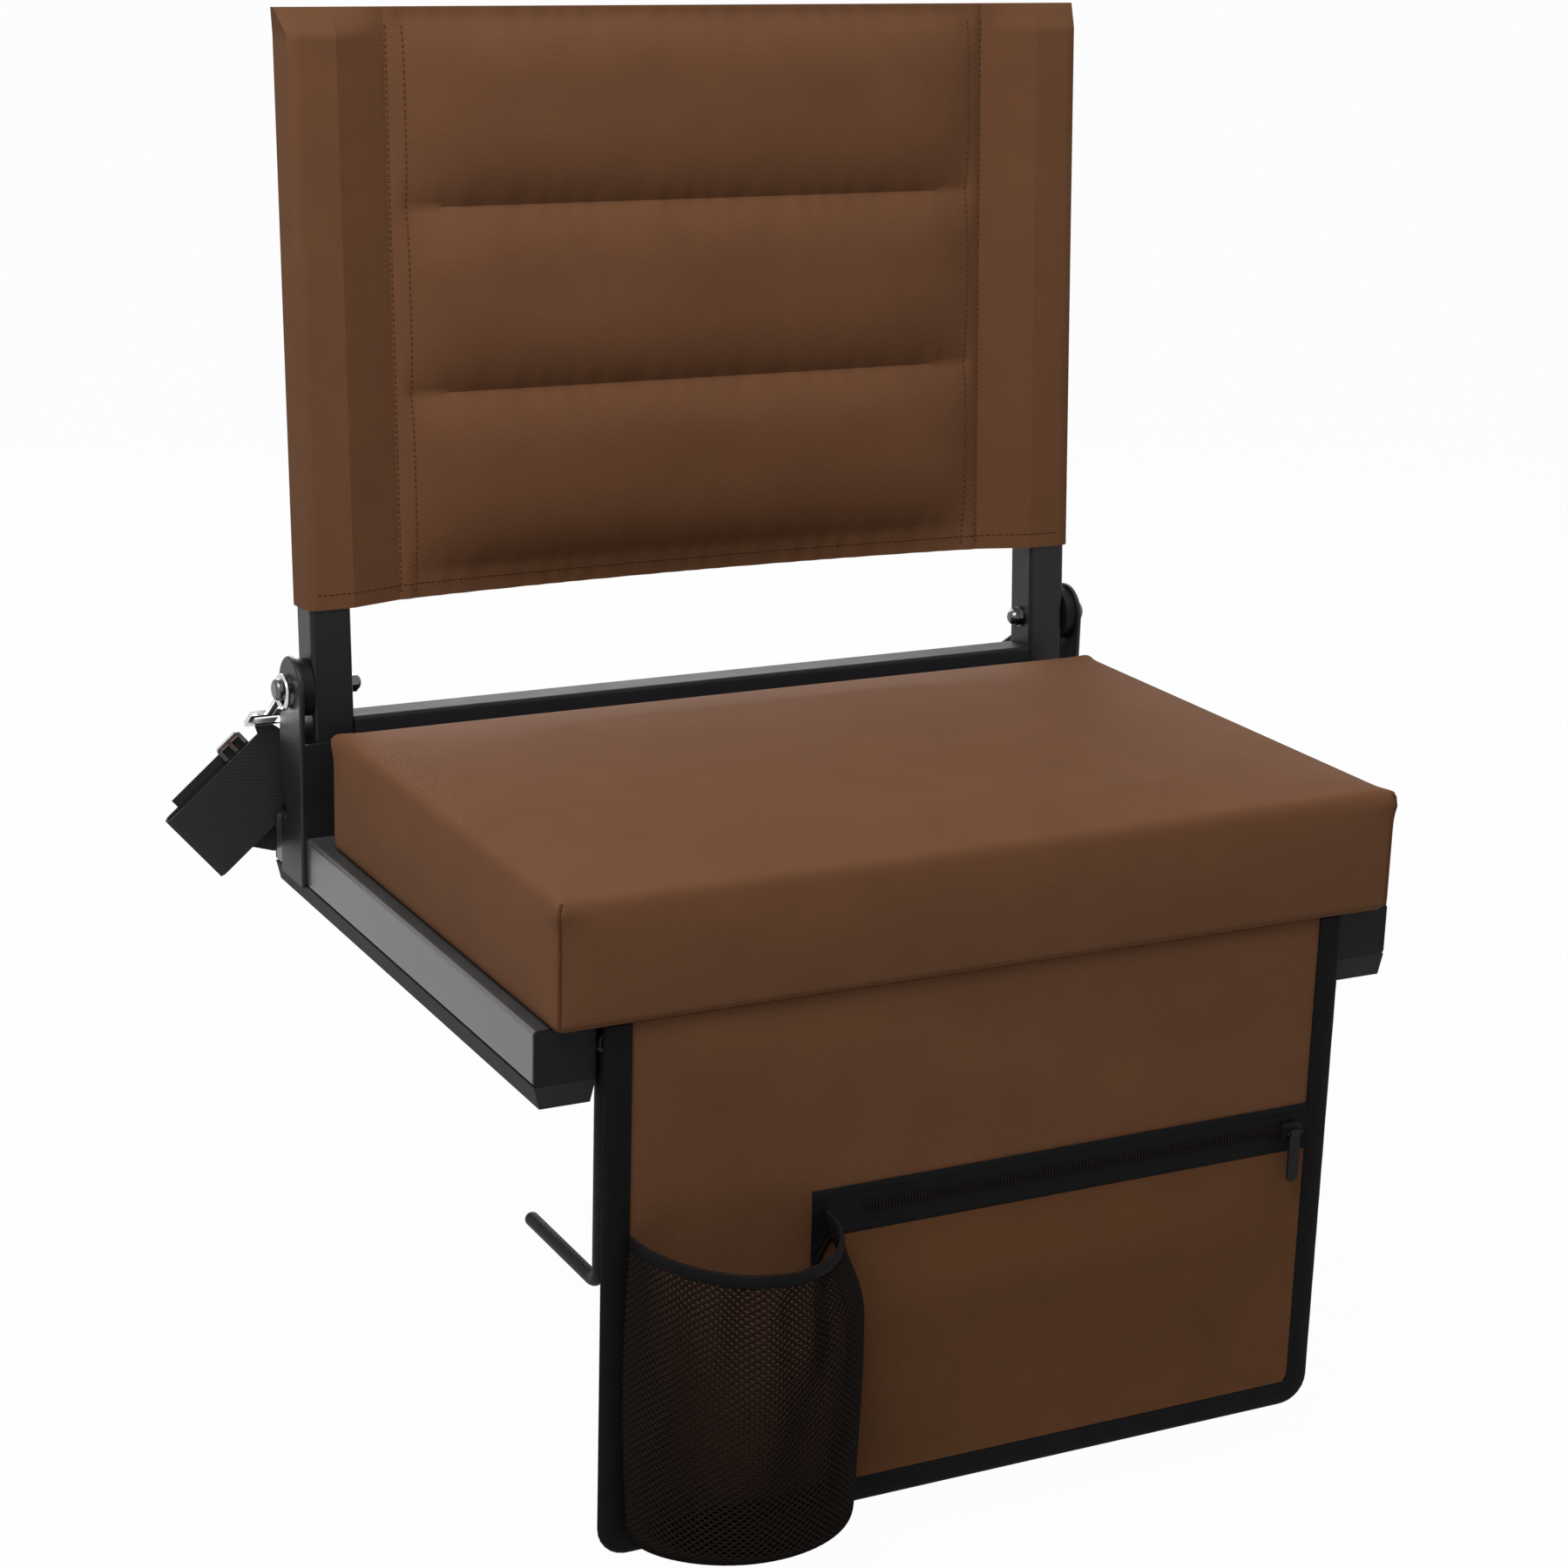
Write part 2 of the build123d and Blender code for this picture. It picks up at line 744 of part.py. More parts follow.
chain_left = cup_right + cup_belly + hem_skin + chain_width
chain_right = zip_right - chain_width
with BuildPart() as zip_chain:
    with BuildSketch(front_plane(zip_face)):
        with Locations(((chain_left + chain_right) / 2, zip_mid_z)):
            SlotOverall(chain_right - chain_left, chain_width)
    extrude(amount=chain_height)
save(zip_chain.part, "zip_chain")

bridge_y = slider_face - bridge_rise
bridge_half = slider_length / 2 - bridge_wire
pull_eye = bridge_wire / 2 + bolt_running_gap
with BuildPart() as slider:
    with BuildSketch(front_plane(slider_back)):
        with Locations((slider_x, zip_mid_z)):
            RectangleRounded(slider_length, slider_width, slider_corner)
    extrude(amount=slider_height)
    with BuildSketch(front_plane(slider_face)):
        with Locations((slider_x - bridge_half, zip_mid_z), (slider_x + bridge_half, zip_mid_z)):
            Rectangle(bridge_wire, bridge_wire)
    extrude(amount=bridge_rise + bridge_wire / 2)
    with BuildSketch(side_plane(slider_x)):
        with Locations((bridge_y, zip_mid_z)):
            Circle(bridge_wire / 2)
    extrude(amount=bridge_half, both=True)
save(slider.part, "zip_slider")

eye_width = 2 * bridge_half - bridge_wire - 2 * soft_gap
with BuildPart() as pull:
    with BuildSketch(front_plane(bridge_y + pull_thickness / 2)):
        with BuildLine():
            Polyline(
                (slider_x - eye_width / 2, zip_mid_z),
                (slider_x - pull_width / 2, zip_mid_z - pull_length / 2),
                (slider_x - pull_width / 2, zip_mid_z - pull_length + pull_width / 2),
            )
            ThreePointArc(
                (slider_x - pull_width / 2, zip_mid_z - pull_length + pull_width / 2),
                (slider_x, zip_mid_z - pull_length),
                (slider_x + pull_width / 2, zip_mid_z - pull_length + pull_width / 2),
            )
            Polyline(
                (slider_x + pull_width / 2, zip_mid_z - pull_length + pull_width / 2),
                (slider_x + pull_width / 2, zip_mid_z - pull_length / 2),
                (slider_x + eye_width / 2, zip_mid_z),
                (slider_x - eye_width / 2, zip_mid_z),
            )
        make_face()
    extrude(amount=pull_thickness)
    with BuildSketch(side_plane(slider_x)):
        with Locations((bridge_y, zip_mid_z)):
            Circle(2 * pull_eye)
    extrude(amount=eye_width / 2, both=True)
    with BuildSketch(side_plane(slider_x)):
        with Locations((bridge_y, zip_mid_z)):
            Circle(pull_eye)
    extrude(amount=eye_width, both=True, mode=Mode.SUBTRACT)
save(pull.part, "zip_pull")

# Mesh cup holder: a half-round bag with a dipping rim and an elastic hem
cup_mid = (cup_left + cup_right) / 2
cup_half = (cup_right - cup_left) / 2
cup_back = zip_face - soft_gap
cup_rim = apron_top - cup_rim_drop
cup_foot = apron_top - cup_foot_drop
dip_radius = (cup_half**2 + cup_rim_dip**2) / (2 * cup_rim_dip)
dip_centre = cup_rim - cup_rim_dip + dip_radius


def cup_section(height, grow, skin):
    """Draw the bag's half-round section at a height, grown outward and shrunk by a skin."""
    half = cup_half + grow - skin
    back = cup_back - max(skin, 0)
    front = cup_back - cup_reach - grow + skin
    with BuildSketch(Plane.XY.offset(height)) as section:
        with BuildLine():
            Line((cup_mid + half, back), (cup_mid - half, back))
            ThreePointArc((cup_mid - half, back), (cup_mid, front), (cup_mid + half, back))
        make_face()
    return section.sketch


def cup_form(skin):
    """Loft the bag's body, shrunk by a skin, from its foot up to its rim."""
    foot = cup_section(cup_foot + skin, -cup_foot_inset, skin)
    low = cup_section(cup_foot + cup_foot_rise, 0, skin)
    belly = cup_section((cup_foot + cup_rim) / 2, cup_belly, skin)
    rim = cup_section(cup_rim, 0, skin)
    with BuildPart() as form:
        loft([low, belly, rim])
        loft([foot, low])
    return form.part


def rim_cut(drop):
    """Make the round body that dips the rim, lowered by a drop."""
    with BuildPart() as form:
        with BuildSketch(front_plane(apron_y)):
            with Locations((cup_mid, dip_centre - drop)):
                Circle(dip_radius)
        extrude(amount=2 * cup_reach)
    return form.part


cup_body = cup_form(0)
cup_hollow = cup_form(cup_skin)
hem_seat = cup_form(-soft_gap)
hem_body = cup_form(-soft_gap - hem_skin)
rim_body = rim_cut(0)
hem_band = rim_cut(hem_width)
with BuildPart() as cup:
    add(cup_body)
    add(cup_hollow, mode=Mode.SUBTRACT)
    add(rim_body, mode=Mode.SUBTRACT)
save(cup.part, "cup_holder")

with BuildPart() as hem:
    add(hem_body)
    add(hem_seat, mode=Mode.SUBTRACT)
    add(hem_band, mode=Mode.INTERSECT)
    add(rim_body, mode=Mode.SUBTRACT)
save(hem.part, "cup_holder_hem")

# Bench hooks: a bent rod with a flat eye on the front cross tube
hook_low = tube_mid_z - hook_drop
hook_eye_bore = hook_bolt / 2 + bolt_running_gap
for name, side in sides.items():
    x = side * hook_x
    with BuildPart() as hook:
        with BuildLine() as rod_line:
            FilletPolyline(
                (x, hook_y, tube_mid_z - hook_bolt_head / 2 - fit_gap),
                (x, hook_y, hook_low),
                (x, hook_y + hook_reach, hook_low),
                radius=hook_bend,
            )
        with BuildSketch(Plane(origin=rod_line.line @ 0, z_dir=rod_line.line % 0)):
            Circle(hook_rod / 2)
        sweep()
        fillet(hook.faces().sort_by(Axis.Y)[-1].edges(), hook_tip_round)
        with BuildSketch(front_plane(hook_y + hook_eye_thickness / 2)):
            with Locations((x, tube_mid_z)):
                Circle(hook_eye / 2)
        extrude(amount=hook_eye_thickness)
        with BuildSketch(front_plane(hook_y + hook_rod / 2)):
            with Locations((x, tube_mid_z)):
                Circle(hook_eye_bore)
        extrude(amount=hook_rod, mode=Mode.SUBTRACT)
    save(hook.part, f"{name}_bench_hook")

# Bolts, washers and nuts that carry the hooks
hook_spots = [(side * hook_x, tube_mid_z) for side in sides.values()]
tube_front = front_tube_y - tube_size / 2
tube_rear = front_tube_y + tube_size / 2
hook_bolt_seat = hook_y - hook_eye_thickness / 2 - fit_gap
with BuildPart() as hook_bolts:
    with BuildSketch(front_plane(tube_rear + hook_nut_height)):
        with Locations(*hook_spots):
            Circle(hook_bolt / 2)
    extrude(amount=tube_rear + hook_nut_height - hook_bolt_seat)
    with BuildSketch(front_plane(hook_bolt_seat)):
        with Locations(*hook_spots):
            Circle(hook_bolt_head / 2)
    extrude(amount=hook_bolt_head_height)
    bolt_faces = hook_bolts.faces().filter_by(Axis.Y).group_by(Axis.Y)[0]
    fillet(bolt_faces.edges(), bolt_head_round)
save(hook_bolts.part, "hook_bolts")

with BuildPart() as hook_washers:
    with BuildSketch(front_plane(tube_front)):
        with Locations(*hook_spots):
            Circle(hook_washer_diameter / 2)
            Circle(hook_eye_bore, mode=Mode.SUBTRACT)
    extrude(amount=hook_washer - fit_gap)
save(hook_washers.part, "hook_washers")

with BuildPart() as hook_nuts:
    with BuildSketch(front_plane(tube_rear + hook_nut_height)):
        with Locations(*hook_spots):
            RegularPolygon(hook_nut_width / 2, nut_sides, major_radius=False)
            Circle(hook_eye_bore, mode=Mode.SUBTRACT)
    extrude(amount=hook_nut_height)
save(hook_nuts.part, "hook_nuts")

# Shoulder strap: a folded end on the left, a return behind it and a run behind the seat
along = (cos(radians(strap_slope)), sin(radians(strap_slope)))
across = (sin(radians(strap_slope)), -cos(radians(strap_slope)))
ring_radius = (ring_diameter - ring_wire) / 2
ring_slack = ring_radius - ring_wire / 2 - bolt_radius - soft_gap
snap_reach = ring_radius + snap_length + snap_eye_length
snap_x = bracket_face + bolt_neck / 2


def snap_place(side, tilt):
    """Plane of a snap hook that hangs on one bolt neck and points back and down by a tilt."""
    way = (0, cos(radians(tilt)), -sin(radians(tilt)))
    ring = (side * snap_x, pivot_y + ring_slack * way[1], pivot_z + ring_slack * way[2])
    return Plane(origin=ring, x_dir=way, z_dir=(1, 0, 0))


def strap_end_z(tilt):
    """Height where the strap meets the eye of a snap hook with a tilt."""
    return pivot_z - (ring_slack + snap_reach) * sin(radians(tilt)) - snap_eye_wire / 2


left_end_z = strap_end_z(left_snap_tilt)
right_end_z = strap_end_z(right_snap_tilt)
return_y = strap_y + strap_skin + strap_layer
run_low = strap_run_z - strap_width / 2
run_high = strap_run_z + strap_width / 2
run_mid = (strap_run_start + strap_run_end) / 2


def strap_point(forward, sideways):
    """Point of the folded end, forward from the fold line and sideways from its middle."""
    return (
        strap_fold_x + forward * along[0] + sideways * across[0],
        strap_fold_z + forward * along[1] + sideways * across[1],
    )


fold_high = strap_point(0, -strap_width / 2)
fold_low = strap_point(0, strap_width / 2)
fold_plane = Plane(
    origin=(fold_high[0], strap_y, fold_high[1]),
    x_dir=(-along[0], 0, -along[1]),
    z_dir=(across[0], 0, across[1]),
)
fold_radius = strap_skin + strap_layer / 2
with BuildPart() as strap:
    with BuildSketch(front_plane(strap_y + strap_skin)):
        with BuildLine():
            Polyline(
                fold_high,
                strap_point(strap_upper_run, -strap_width / 2),
                (-snap_x - strap_end_width / 2, left_end_z),
                (-snap_x + strap_end_width / 2, left_end_z),
                strap_point(strap_lower_run, strap_width / 2),
                fold_low,
                close=True,
            )
        make_face()
    extrude(amount=strap_skin)
    with BuildSketch(fold_plane):
        with Locations((0, fold_radius)):
            Circle(fold_radius)
            Circle(fold_radius - strap_skin, mode=Mode.SUBTRACT)
        with Locations((-fold_radius, fold_radius)):
            Rectangle(2 * fold_radius, 4 * fold_radius, mode=Mode.SUBTRACT)
    extrude(amount=strap_width)
    with BuildSketch(front_plane(return_y + strap_skin)):
        with BuildLine():
            Polyline(
                (strap_run_start, run_high),
                strap_point(strap_return_run, -strap_width / 2),
                fold_high,
                fold_low,
                strap_point(strap_return_run, strap_width / 2),
                (strap_run_start, run_low),
            )
            ThreePointArc(
                (strap_run_start, run_low), (run_mid, run_low - strap_sag), (strap_run_end, run_low)
            )
            Polyline(
                (strap_run_end, run_low),
                (snap_x + strap_end_width / 2, right_end_z),
                (snap_x - strap_end_width / 2, right_end_z),
                (strap_run_end, run_high),
            )
            ThreePointArc(
                (strap_run_end, run_high), (run_mid, run_high - strap_sag), (strap_run_start, run_high)
            )
        make_face()
    extrude(amount=strap_skin)
save(strap.part, "shoulder_strap")

# Tri-glide buckle between the two layers of the folded end
glide_y = return_y - soft_gap
glide_plane = Plane(
    origin=(*strap_point(glide_along, glide_length / 2 - strap_width / 2 - glide_past), 0),
    x_dir=(along[0], along[1], 0),
    z_dir=(0, 0, 1),
)
glide_slot = (glide_depth - 3 * glide_wire) / 2
with BuildSketch(glide_plane, mode=Mode.PRIVATE) as glide_sketch:
    RectangleRounded(glide_depth, glide_length, glide_wire)
    with GridLocations(glide_slot + glide_wire, 0, 2, 1):
        Rectangle(glide_slot, glide_length - 2 * glide_wire, mode=Mode.SUBTRACT)
with BuildPart() as glide:
    with BuildSketch(front_plane(glide_y)):
        add(glide_sketch.sketch)
    extrude(amount=glide_wire)
save(glide.part, "strap_tri_glide")


def snap_hook(place):
    """Make a snap hook: a ring, a swivel barrel and an eye turned across the ring."""
    with BuildPart(place) as snap:
        Torus(ring_radius, ring_wire / 2)
        with Locations(Location((ring_radius + snap_length / 2, 0, 0), (0, barrel_turn, 0))):
            Cylinder(snap_barrel / 2, snap_length)
        with Locations((snap_reach - snap_eye_length / 2, 0, 0)):
            Box(snap_eye_length, snap_eye_wire, snap_eye_width)
            Box(
                snap_eye_length - 2 * snap_eye_wire,
                snap_eye_wire,
                snap_eye_width - 2 * snap_eye_wire,
                mode=Mode.SUBTRACT,
            )
    return snap.part


for name, tilt in (("left", left_snap_tilt), ("right", right_snap_tilt)):
    save(snap_hook(snap_place(sides[name], tilt)), f"{name}_snap_hook")
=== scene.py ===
"""Dressed scene of a folding stadium seat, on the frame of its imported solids."""

import logging
import math
from dataclasses import dataclass
from enum import Enum
from functools import partial
from typing import Callable

import bpy
import numpy as np
from mathutils import Matrix, Vector


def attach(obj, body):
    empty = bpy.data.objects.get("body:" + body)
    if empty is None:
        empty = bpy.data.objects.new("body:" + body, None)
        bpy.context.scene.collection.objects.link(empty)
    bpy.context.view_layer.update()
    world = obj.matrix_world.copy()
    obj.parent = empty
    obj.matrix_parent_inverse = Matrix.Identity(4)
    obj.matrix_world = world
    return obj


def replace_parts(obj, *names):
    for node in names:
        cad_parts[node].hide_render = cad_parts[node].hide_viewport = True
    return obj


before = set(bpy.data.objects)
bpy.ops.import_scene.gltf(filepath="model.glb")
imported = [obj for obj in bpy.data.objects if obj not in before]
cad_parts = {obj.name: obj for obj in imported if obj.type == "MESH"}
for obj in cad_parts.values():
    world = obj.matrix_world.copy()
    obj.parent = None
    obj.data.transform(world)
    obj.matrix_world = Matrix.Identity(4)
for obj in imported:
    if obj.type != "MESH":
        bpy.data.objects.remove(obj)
LOG = logging.getLogger("stadium_seat")
Piece = bpy.types.Object
Tree = bpy.types.NodeTree
Socket = bpy.types.NodeSocket
Array = np.ndarray
Colour = tuple[float, float, float]
Point = tuple[float, float, float]
Surface = Callable[[Array, Array], Array]
EdgeTest = Callable[[Vector, Vector], bool]

TINY = 1e-5
CLOSE = 1e-4
CLOTH_ANGLE = 50.0
ROUND_ANGLE = 60.0
FINE_DEPTH = 0.0004
WAVE_UNIT = 2 * math.pi / 20
RAMP_STOPS = (0.25, 0.75)
SHADER = "Principled BSDF"
WHITE = (1, 1, 1, 1)


class Body(Enum):
    """Moving bodies of the seat that carry dressed pieces."""

    SEAT = "seat_frame"
    BACK = "back_frame"
    APRON = "front_apron"


class Slot(Enum):
    """Material slots of the record, by name."""

    FABRIC = "brown_fabric"
    WEBBING = "black_webbing"
    MESH = "black_mesh"
    PLASTIC = "cap_plastic"


def clear_selection() -> None:
    """Leave edit mode and deselect every object."""
    if bpy.context.object and bpy.context.object.mode != "OBJECT":
        bpy.ops.object.mode_set(mode="OBJECT")
    bpy.ops.object.select_all(action="DESELECT")


def make_active(piece: Piece) -> None:
    """Select one piece alone and make it active.

    Args:
        piece: The object to work on next.
    """
    clear_selection()
    piece.select_set(True)
    bpy.context.view_layer.objects.active = piece


def add_block(low: Point, high: Point) -> Piece:
    """Add a cube primitive that fills a box, with its place in its mesh.

    Args:
        low: Lowest corner in metres.
        high: Highest corner in metres.

    Returns:
        The new object.
    """
    clear_selection()
    middle = [(a + b) / 2 for a, b in zip(low, high)]
    bpy.ops.mesh.primitive_cube_add(size=1, location=middle)
    block = bpy.context.object
    block.scale = [b - a for a, b in zip(low, high)]
    bpy.ops.object.transform_apply(location=True, rotation=True, scale=True)
    return block


def add_grid(columns: int, rows: int) -> Piece:
    """Add a unit grid primitive at the origin.

    Args:
        columns: Cells along x.
        rows: Cells along y.

    Returns:
        The new object.
    """
    clear_selection()
    bpy.ops.mesh.primitive_grid_add(x_subdivisions=columns, y_subdivisions=rows, size=1)
    return bpy.context.object


def corners(piece: Piece) -> Array:
    """Read the vertices of a piece.

    Args:
        piece: A mesh object at the origin.

    Returns:
        One row of x, y, z for each vertex, in metres.
    """
    flat = np.empty(3 * len(piece.data.vertices))
    piece.data.vertices.foreach_get("co", flat)
    return flat.reshape(-1, 3)


def move_corners(piece: Piece, places: Array) -> None:
    """Move the vertices of a piece to new places.

    Args:
        piece: A mesh object at the origin.
        places: One row of x, y, z for each vertex, in metres.
    """
    piece.data.vertices.foreach_set("co", places.ravel())
    piece.data.update()


def modify(piece: Piece, kind: str, **settings: object) -> None:
    """Add a modifier to a piece, set it and apply it.

    Args:
        piece: The object to change.
        kind: Blender's modifier type.
        settings: Values set on the modifier.
    """
    make_active(piece)
    modifier = piece.modifiers.new(kind.title(), kind)
    for key, value in settings.items():
        setattr(modifier, key, value)
    bpy.ops.object.modifier_apply(modifier=modifier.name)


def bevel(piece: Piece, width: float, segments: int, chosen: EdgeTest) -> None:
    """Bevel the edges of a piece that a test chooses by their two ends.

    Args:
        piece: The object to bevel.
        width: Width of the bevel in metres.
        segments: Faces across the bevel.
        chosen: Tells from an edge's ends whether it is bevelled.
    """
    make_active(piece)
    bpy.ops.object.mode_set(mode="EDIT")
    bpy.ops.mesh.select_all(action="DESELECT")
    bpy.ops.mesh.select_mode(type="EDGE")
    bpy.ops.object.mode_set(mode="OBJECT")
    points = piece.data.vertices
    for edge in piece.data.edges:
        edge.select = chosen(*(points[i].co for i in edge.vertices))
    bpy.ops.object.mode_set(mode="EDIT")
    bpy.ops.mesh.bevel(offset=width, segments=segments, affect="EDGES")
    bpy.ops.object.mode_set(mode="OBJECT")


def crease(piece: Piece, chosen: EdgeTest) -> None:
    """Keep the edges sharp that a test chooses by their two ends.

    Args:
        piece: The object to shade.
        chosen: Tells from an edge's ends whether it stays sharp.
    """
    points = piece.data.vertices
    for edge in piece.data.edges:
        if chosen(*(points[i].co for i in edge.vertices)):
            edge.use_edge_sharp = True


def smooth(piece: Piece, degrees: float) -> None:
    """Shade a piece smooth below an angle between its faces.

    Args:
        piece: The object to shade.
        degrees: Angle past which an edge stays sharp.
    """
    make_active(piece)
    bpy.ops.object.shade_smooth_by_angle(angle=math.radians(degrees))


def lay_grid(columns: int, rows: int, surface: Surface) -> Piece:
    """Make an open cloth from a grid that follows a surface.

    Args:
        columns: Cells across.
        rows: Cells upward.
        surface: Gives places from two arrays that run from 0 to 1.

    Returns:
        The new object.
    """
    cloth = add_grid(columns, rows)
    rest = corners(cloth)
    move_corners(cloth, surface(rest[:, 0] + 0.5, rest[:, 1] + 0.5))
    return cloth


def sew_two_sided(columns: int, rows: int, front: Surface, rear: Surface) -> Piece:
    """Make a closed cloth piece from a grid whose two sides follow two surfaces.

    Args:
        columns: Cells across.
        rows: Cells upward.
        front: Gives the front's places from two arrays that run from 0 to 1.
        rear: Gives the rear's places in the same way.

    Returns:
        The new object, shaded smooth.
    """
    gap = 0.1
    cloth = add_grid(columns, rows)
    modify(cloth, "SOLIDIFY", thickness=gap, offset=-1.0)
    rest = corners(cloth)
    across, upward = rest[:, 0] + 0.5, rest[:, 1] + 0.5
    is_front = rest[:, 2] > -gap / 2
    places = np.where(is_front[:, None], front(across, upward), rear(across, upward))
    move_corners(cloth, places)
    smooth(cloth, CLOTH_ANGLE)
    return cloth


def sew_row(start: Vector, step: Vector, count: int, half: Vector) -> Piece:
    """Sew a straight row of stitches, each a small rounded bar.

    Args:
        start: Middle of the first stitch.
        step: From one stitch to the next.
        count: How many stitches the row has.
        half: Half the size of one stitch along x, y and z.

    Returns:
        The row as one object.
    """
    rounding = 0.8
    stitch = add_block(tuple(start - half), tuple(start + half))
    bevel(stitch, min(half) * rounding, 1, lambda a, b: True)
    spacing = {"use_relative_offset": False, "use_constant_offset": True}
    modify(stitch, "ARRAY", count=count, constant_offset_displace=step, **spacing)
    return stitch


def ramp(value: Array, start: float, end: float) -> Array:
    """Run smoothly from 0 at start to 1 at end.

    Args:
        value: Where the ramp is read.
        start: Place of the ramp's foot.
        end: Place of the ramp's head.

    Returns:
        The ramp's height at each value.
    """
    part = np.clip((value - start) / (end - start), 0, 1)
    return part * part * (3 - 2 * part)


def calculate(tree: Tree, operation: str, *values: Socket | float) -> Socket:
    """Add a math node.

    Args:
        tree: Nodes of a material or of the world.
        operation: Blender's name of the operation.
        values: What goes into it, each a socket or a number.

    Returns:
        The result's socket.
    """
    node = tree.nodes.new("ShaderNodeMath")
    node.operation = operation
    for entry, value in zip(node.inputs, values):
        if isinstance(value, Socket):
            tree.links.new(value, entry)
        else:
            entry.default_value = value
    return node.outputs["Value"]


@dataclass(frozen=True)
class Finish:
    """A plain surface finish, on which the other finishes build."""

    name: str
    colour: Colour
    roughness: float
    shine: float = 0.5
    shade: float = 0.0
    gloss: float = 0.0
    relief: float = 0.0

    def material(self) -> bpy.types.Material:
        """Make the material once and hand out the same one afterwards.

        Returns:
            The finish as a material.
        """
        made = bpy.data.materials.get(self.name)
        if made:
            return made
        made = bpy.data.materials.new(self.name)
        made.use_nodes = True
        shader = made.node_tree.nodes[SHADER]
        shader.inputs["Base Color"].default_value = (*self.colour, 1)
        shader.inputs["Roughness"].default_value = self.roughness
        shader.inputs["Specular IOR Level"].default_value = self.shine
        self.add_pattern(made.node_tree)
        made.diffuse_color = (*self.colour, 1)
        return made

    def add_pattern(self, tree: Tree) -> None:
        """Leave the surface plain."""

    def noise(self, tree: Tree, stretch: Point, detail: float) -> Socket:
        """Spread a random pattern over the piece.

        Args:
            tree: The material's nodes.
            stretch: How fine the pattern is along x, y and z, in spots per metre.
            detail: How many finer layers it has.

        Returns:
            A socket that runs from 0 to 1.
        """
        place = tree.nodes.new("ShaderNodeTexCoord").outputs["Object"]
        scale = tree.nodes.new("ShaderNodeMapping")
        scale.inputs["Scale"].default_value = stretch
        tree.links.new(place, scale.inputs["Vector"])
        spots = tree.nodes.new("ShaderNodeTexNoise")
        spots.inputs["Scale"].default_value = 1
        spots.inputs["Detail"].default_value = detail
        tree.links.new(scale.outputs["Vector"], spots.inputs["Vector"])
        return spots.outputs["Fac"]

    def vary_shade(self, tree: Tree, factor: Socket) -> None:
        """Spread the colour from darker to lighter by a factor.

        Args:
            tree: The material's nodes.
            factor: Socket that runs from 0 to 1.
        """
        shade = tree.nodes.new("ShaderNodeValToRGB")
        lights = (1 - self.shade, 1 + self.shade)
        for stop, position, light in zip(shade.color_ramp.elements, RAMP_STOPS, lights):
            stop.position = position
            stop.color = (*(c * light for c in self.colour), 1)
        tree.links.new(factor, shade.inputs["Fac"])
        tree.links.new(shade.outputs["Color"], tree.nodes[SHADER].inputs["Base Color"])

    def vary_gloss(self, tree: Tree, factor: Socket) -> None:
        """Make the roughness uneven by a factor.

        Args:
            tree: The material's nodes.
            factor: Socket that runs from 0 to 1.
        """
        spread = tree.nodes.new("ShaderNodeMapRange")
        spread.inputs["To Min"].default_value = self.roughness - self.gloss
        spread.inputs["To Max"].default_value = self.roughness + self.gloss
        tree.links.new(factor, spread.inputs["Value"])
        tree.links.new(spread.outputs["Result"], tree.nodes[SHADER].inputs["Roughness"])

    def raise_surface(self, tree: Tree, height: Socket, depth: float = FINE_DEPTH) -> None:
        """Give the surface a fine relief.

        Args:
            tree: The material's nodes.
            height: Socket that runs from 0 to 1.
            depth: How deep the relief is in metres.
        """
        bump = tree.nodes.new("ShaderNodeBump")
        bump.inputs["Strength"].default_value = self.relief
        bump.inputs["Distance"].default_value = depth
        tree.links.new(height, bump.inputs["Height"])
        tree.links.new(bump.outputs["Normal"], tree.nodes[SHADER].inputs["Normal"])


